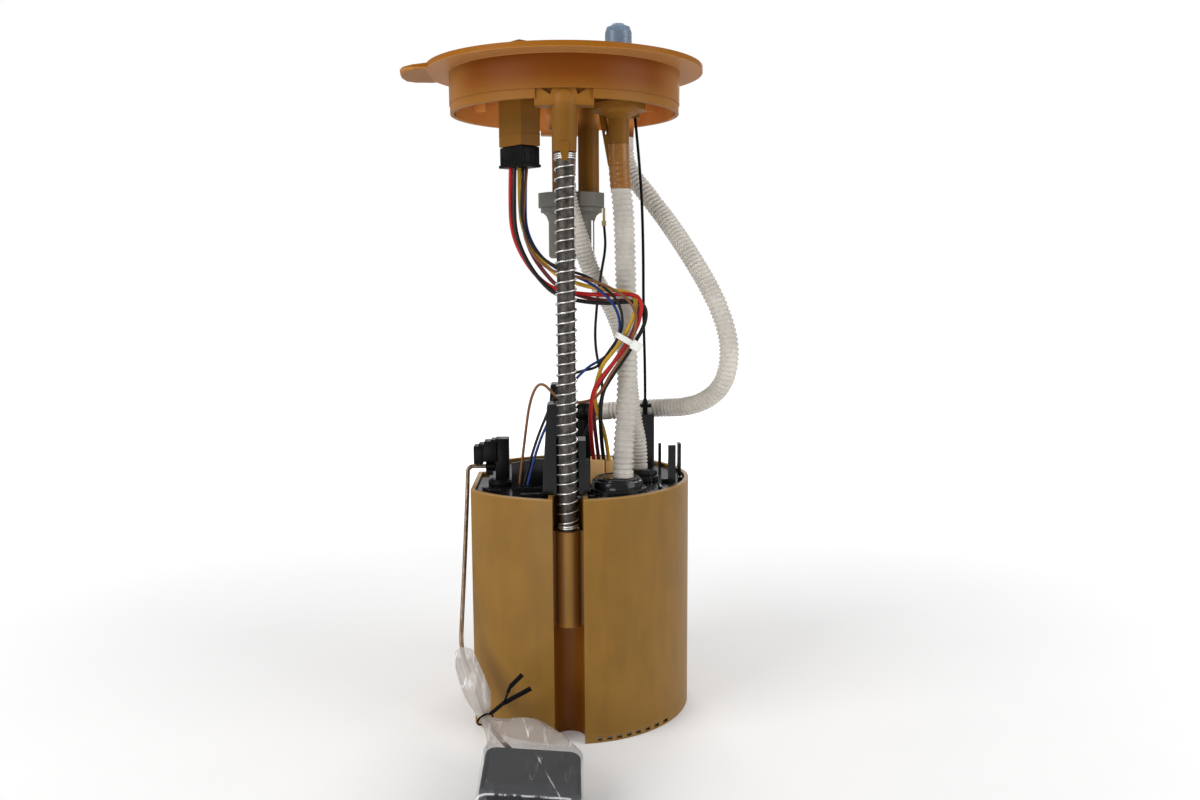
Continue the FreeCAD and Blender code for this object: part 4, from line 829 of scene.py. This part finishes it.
class PUMPMODULE_OT_sender(bpy.types.Operator):
    """Builds the level sender's stepped black housing"""
    bl_idname = "pumpmodule.sender"
    bl_label = "Sender"

    def execute(self, context):
        bm = bmesh.new()
        block(bm, (-46.0, -16.0, 124.3), (-41.4, -8.2, 133.2), 0.4)
        block(bm, (-43.6, -15.9, 125.4), (-34.0, -8.3, 134.2), 0.3)
        block(bm, (-40.8, -16.0, 125.4), (-34.0, -8.2, 135.6), 0.4)
        block(bm, (-37.6, -15.9, 125.6), (-34.0, -8.1, 136.3), 0.3)
        block(bm, (-35.4, -16.0, 114.6), (-28.9, -8.0, 136.8), 0.5)
        turned(bm, [(0, 0), (6.3, 0), (6.6, 0.3), (6.6, 2.0), (6.3, 2.4), (5.6, 2.5), (5.4, 3.0), (0, 3.0)],
               (-32.4, -15.0, LID_TOP), 48)
        turned(bm, [(0, -1.9), (1.4, -1.9), (1.5, -1.8), (1.5, 2.2), (0, 2.2)], (-36.9, -10.0, 122.3), 28,
               (1, 0, 0))
        finish_piece("sender_stepped", bm, "black_plastic", "reservoir", ("sender_housing",), 40.0)
        return {"FINISHED"}


class PUMPMODULE_OT_loom(bpy.types.Operator):
    """Builds the loom plug with its ribs and flared lip"""
    bl_idname = "pumpmodule.loom"
    bl_label = "Loom Plug"

    def execute(self, context):
        turn = math.radians(130.0)
        middle = Vector((-21.25, -18.95, 0))

        def part(along, across, z0, z1, bevel, offset=(0.0, 0.0)):
            half = Vector((along / 2, across / 2, 0))
            place = middle + Matrix.Rotation(turn, 4, "Z") @ Vector((*offset, 0))
            block(bm, place - half + Vector((0, 0, z0)), place + half + Vector((0, 0, z1)), bevel, 2, turn)

        bm = bmesh.new()
        part(16.8, 10.8, 266.6, 275.3, 0.5)
        part(17.8, 11.6, 265.8, 267.2, 0.35)
        for i in range(6):
            part(0.8, 11.3, 266.8, 271.0, 0.15, (-6.5 + 2.6 * i, 0.0))
        for i in range(3):
            part(17.3, 0.9, 266.8, 272.4, 0.15, (0.0, -3.2 + 3.2 * i))
        finish_piece("loom_plug_ribbed", bm, "black_plastic", "flange", ("loom_plug",), 35.0)
        bm = bmesh.new()
        turned(bm, [(5.70, 289.15), (5.86, 289.3), (5.86, 289.7), (5.70, 289.85)], (0, -50.0, 0), 48)
        part(17.3, 11.3, 280.6, 281.1, 0.15)
        finish_piece("parting_lines", bm, "amber_plastic", "flange")
        return {"FINISHED"}


# Rings of the bag: Y, middle X and Z, half width and height, squareness, lean in degrees, peak on top.
BAG = [(-148.1, -15.6, 12.4, 19.8, 8.8, 6.0, 4.9, 0.0), (-147.1, -15.6, 12.4, 21.1, 9.9, 9.0, 4.9, 0.0),
       (-136.0, -15.6, 12.4, 20.9, 9.8, 9.0, 4.9, 0.0), (-120.0, -15.6, 12.4, 21.1, 9.8, 9.0, 4.9, 0.0),
       (-106.2, -15.6, 12.4, 21.0, 9.9, 9.0, 4.9, 0.0), (-103.0, -15.8, 12.7, 20.6, 10.2, 6.0, 4.5, 0.4),
       (-97.0, -17.0, 13.8, 18.8, 11.2, 3.2, 3.4, 1.4), (-91.5, -19.0, 14.7, 16.4, 11.6, 2.3, 2.0, 2.0),
       (-87.0, -22.6, 15.4, 13.4, 9.6, 2.1, 1.0, 1.4), (-82.0, -28.2, 16.6, 8.8, 6.8, 2.0, 0.0, 0.5),
       (-77.0, -33.4, 17.6, 5.0, 4.4, 2.0, 0.0, 0.0), (-74.0, -36.8, 18.3, 2.8, 2.8, 2.0, 0.0, 0.0),
       (-71.2, -38.5, 19.6, 2.7, 2.7, 2.0, 0.0, 0.0), (-68.0, -40.0, 23.4, 4.4, 4.1, 2.0, 0.0, 0.0),
       (-64.0, -42.0, 28.0, 6.4, 5.7, 2.0, 0.0, 0.0), (-60.0, -44.4, 32.4, 6.5, 5.8, 2.0, 0.0, 0.0),
       (-56.0, -46.6, 36.5, 6.0, 5.1, 2.0, 0.0, 0.0), (-51.2, -48.6, 42.0, 4.6, 3.0, 2.0, 0.0, 0.0)]


class PUMPMODULE_OT_float_bag(bpy.types.Operator):
    """Builds the creased film bag round the float and the black tie on its neck"""
    bl_idname = "pumpmodule.float_bag"
    bl_label = "Float Bag"

    def execute(self, context):
        bm = bmesh.new()
        rings = []
        for index, (y, x, z, a, b, square, lean, peak) in enumerate(BAG):
            neck = 1.0 if b < 8.0 else 0.25
            lean = math.radians(lean)
            ring = []
            for vert, t, u, v in rounded_ring(bm, 72, square):
                pleat = 1 - 0.06 * neck * (1 + math.sin(11 * t + 0.4 * index) * math.cos(5 * t))
                fold = 1 - 0.006 * (1 + math.sin(7 * t + 1.7 * index))
                u = u * a * pleat * fold
                v = v * b * pleat * fold + peak * max(0.0, math.sin(t)) ** 6
                high = max(z - u * math.sin(lean) + v * math.cos(lean), 0.8)
                vert.co = Vector((x + u * math.cos(lean) + v * math.sin(lean), y, high)) * MM
                ring.append(vert)
            rings.append(edges_of(ring))
        for one, other in zip(rings, rings[1:]):
            bmesh.ops.bridge_loops(bm, edges=one + other)
        bmesh.ops.contextual_create(bm, geom=rings[0])
        bag = finish_piece("float_bag_film", bm, "bag_film", "sender_arm", ("float_bag",), 180.0)

        bm = bmesh.new()
        middle = Vector((-37.9, -72.3, 19.0))
        one, other = Vector((0.66, -0.14, 0.74)), Vector((0.61, 0.65, -0.42))
        loop = []
        for i in range(41):
            angle = 2 * math.pi * i / 40
            loop.append((middle + 3.7 * (math.cos(angle) * one + math.sin(angle) * other)) * MM)
        tube_on(bm, loop, lambda s: 0.45 * MM, 10)
        foot, top = Vector((-35.3, -72.8, 21.9)), Vector((-28.7, -75.0, 28.2))
        axis = (top - foot).normalized()
        side = axis.orthogonal().normalized()
        for start in (0.0, math.pi):
            strand = []
            for i in range(49):
                angle = start + 6 * math.pi * i / 48
                out = math.cos(angle) * side + math.sin(angle) * axis.cross(side)
                strand.append((foot.lerp(top, i / 48) + 0.45 * out) * MM)
            tube_on(bm, strand, lambda s: 0.55 * MM, 10)
        tails = (((-29.0, 27.8, 0.9), (-27.4, 32.4, 0.9), (-26.2, 35.2, 1.5), (-20.8, 40.6, 2.0)),
                 ((-29.2, 27.6, 1.6), (-25.0, 29.9, 2.1), (-17.1, 34.2, 2.1)))
        for tail in tails:
            for (x0, z0, w0), (x1, z1, w1) in zip(tail, tail[1:]):
                bar(bm, (x0, -74.9, z0), (x1, -74.9, z1), 0.6, max(w0, w1), 0.12)
        finish_piece("bag_tie_twisted", bm, "black_plastic", "sender_arm", ("bag_tie",), 60.0)
        return {"FINISHED"}


class PUMPMODULE_OT_stage(bpy.types.Operator):
    """Sets the floor, the lamps, the world and the camera"""
    bl_idname = "pumpmodule.stage"
    bl_label = "Stage"

    def execute(self, context):
        scene = context.scene
        stage = scene.pump_stage
        floor_mesh = bmesh.new()
        bmesh.ops.create_grid(floor_mesh, x_segments=1, y_segments=1, size=6.0,
                              matrix=Matrix.Translation((0, 0, -0.0002)))
        mesh = bpy.data.meshes.new("floor")
        floor_mesh.to_mesh(mesh)
        floor_mesh.free()
        floor = bpy.data.objects.new("floor", mesh)
        scene.collection.objects.link(floor)
        r = Recipe("floor_paper")
        grain = r.noise(0.02, 2.0)
        base = r.blend(grain, (0.87, 0.87, 0.87), (0.90, 0.90, 0.90))
        # The camera sees the floor glow to white, more so away from the object; near it, shadows stay.
        seen = Value(r, r.node("ShaderNodeLightPath").outputs["Is Camera Ray"])
        reach = r.node("ShaderNodeVectorMath", {"operation": "LENGTH"}, {0: r.place((0.001, 0.001, 0.001))})
        far = Value(r, reach.outputs["Value"]).above(0.15, 1.1)
        light = r.blend(seen * (0.12 + far * 0.88), (0.0, 0.0, 0.0), (0.75, 0.75, 0.75))
        mesh.materials.append(r.finish(Base_Color=base, Roughness=0.9, Specular_IOR_Level=0.1,
                                       Emission_Color=light, Emission_Strength=1.0))

        world = bpy.data.worlds.new("studio")
        scene.world = world
        world.use_nodes = True
        tree = world.node_tree
        tree.nodes.clear()
        path = tree.nodes.new("ShaderNodeLightPath")
        seen = tree.nodes.new("ShaderNodeMath")
        seen.operation = "MAXIMUM"
        tree.links.new(path.outputs["Is Camera Ray"], seen.inputs[0])
        tree.links.new(path.outputs["Is Transmission Ray"], seen.inputs[1])
        level = tree.nodes.new("ShaderNodeMapRange")
        tree.links.new(seen.outputs[0], level.inputs["Value"])
        level.inputs["To Min"].default_value = stage.sky
        level.inputs["To Max"].default_value = 1.0
        sky = tree.nodes.new("ShaderNodeBackground")
        sky.inputs["Color"].default_value = (1, 1, 1, 1)
        tree.links.new(level.outputs[0], sky.inputs["Strength"])
        out = tree.nodes.new("ShaderNodeOutputWorld")
        tree.links.new(sky.outputs[0], out.inputs[0])

        lamps = (("key", (-0.80, -0.55, 0.68), 0.17, 0.7, stage.key_power),
                 ("fill", (0.85, -0.42, 0.45), 0.17, 0.6, stage.fill_power),
                 ("back", (0.1, 0.8, 0.7), 0.17, 0.6, stage.fill_power),
                 ("low", (-0.25, -0.62, 0.02), 0.34, 0.3, stage.low_power))
        for name, place, aim, size, power in lamps:
            lamp = bpy.data.lights.new(name, "AREA")
            lamp.size = size
            lamp.energy = power
            holder = bpy.data.objects.new(name, lamp)
            holder.location = place
            sight = Vector((0, 0, aim)) - Vector(place)
            holder.rotation_euler = sight.to_track_quat("-Z", "Y").to_euler()
            scene.collection.objects.link(holder)

        camera = bpy.data.cameras.new("photo_camera")
        camera.sensor_width = 36.0
        camera.lens = stage.lens
        camera.clip_start = 0.01
        holder = bpy.data.objects.new("photo_camera", camera)
        ahead = Vector(CAMERA_AHEAD).normalized()
        level = ahead.to_track_quat("-Z", "Y")
        roll = Quaternion(ahead, math.radians(CAMERA_ROLL))
        holder.rotation_mode = "QUATERNION"
        holder.rotation_quaternion = roll @ level
        holder.location = CAMERA_PLACE
        scene.collection.objects.link(holder)
        scene.camera = holder
        scene.view_settings.view_transform = "Standard"
        return {"FINISHED"}


class PUMPMODULE_PT_panel(bpy.types.Panel):
    """Lists the sizes, the colours and the build steps"""
    bl_idname = "PUMPMODULE_PT_panel"
    bl_label = "Pump Module"
    bl_space_type = "VIEW_3D"
    bl_region_type = "UI"
    bl_category = "Pump Module"

    def draw(self, context):
        for group in (context.scene.pump_sizes, context.scene.pump_colours, context.scene.pump_stage):
            box = self.layout.box()
            for key in group.__annotations__:
                box.prop(group, key)
        for step in STEPS:
            self.layout.operator(step.bl_idname)


GROUPS = (ModuleSizes, ModuleColours, ModuleStage)
STEPS = (PUMPMODULE_OT_finishes, PUMPMODULE_OT_stage, PUMPMODULE_OT_hoses, PUMPMODULE_OT_leads,
         PUMPMODULE_OT_cable_tie, PUMPMODULE_OT_springs, PUMPMODULE_OT_lid_fittings, PUMPMODULE_OT_sender,
         PUMPMODULE_OT_loom, PUMPMODULE_OT_float_bag)


def register():
    for kind in GROUPS + STEPS + (PUMPMODULE_PT_panel,):
        bpy.utils.register_class(kind)
    bpy.types.Scene.pump_sizes = PointerProperty(type=ModuleSizes)
    bpy.types.Scene.pump_colours = PointerProperty(type=ModuleColours)
    bpy.types.Scene.pump_stage = PointerProperty(type=ModuleStage)


def unregister():
    del bpy.types.Scene.pump_stage
    del bpy.types.Scene.pump_colours
    del bpy.types.Scene.pump_sizes
    for kind in reversed(GROUPS + STEPS + (PUMPMODULE_PT_panel,)):
        bpy.utils.unregister_class(kind)


def main():
    register()
    for step in STEPS:
        group, name = step.bl_idname.split(".")
        getattr(getattr(bpy.ops, group), name)()
    bpy.context.view_layer.update()


if __name__ == "__main__":
    main()
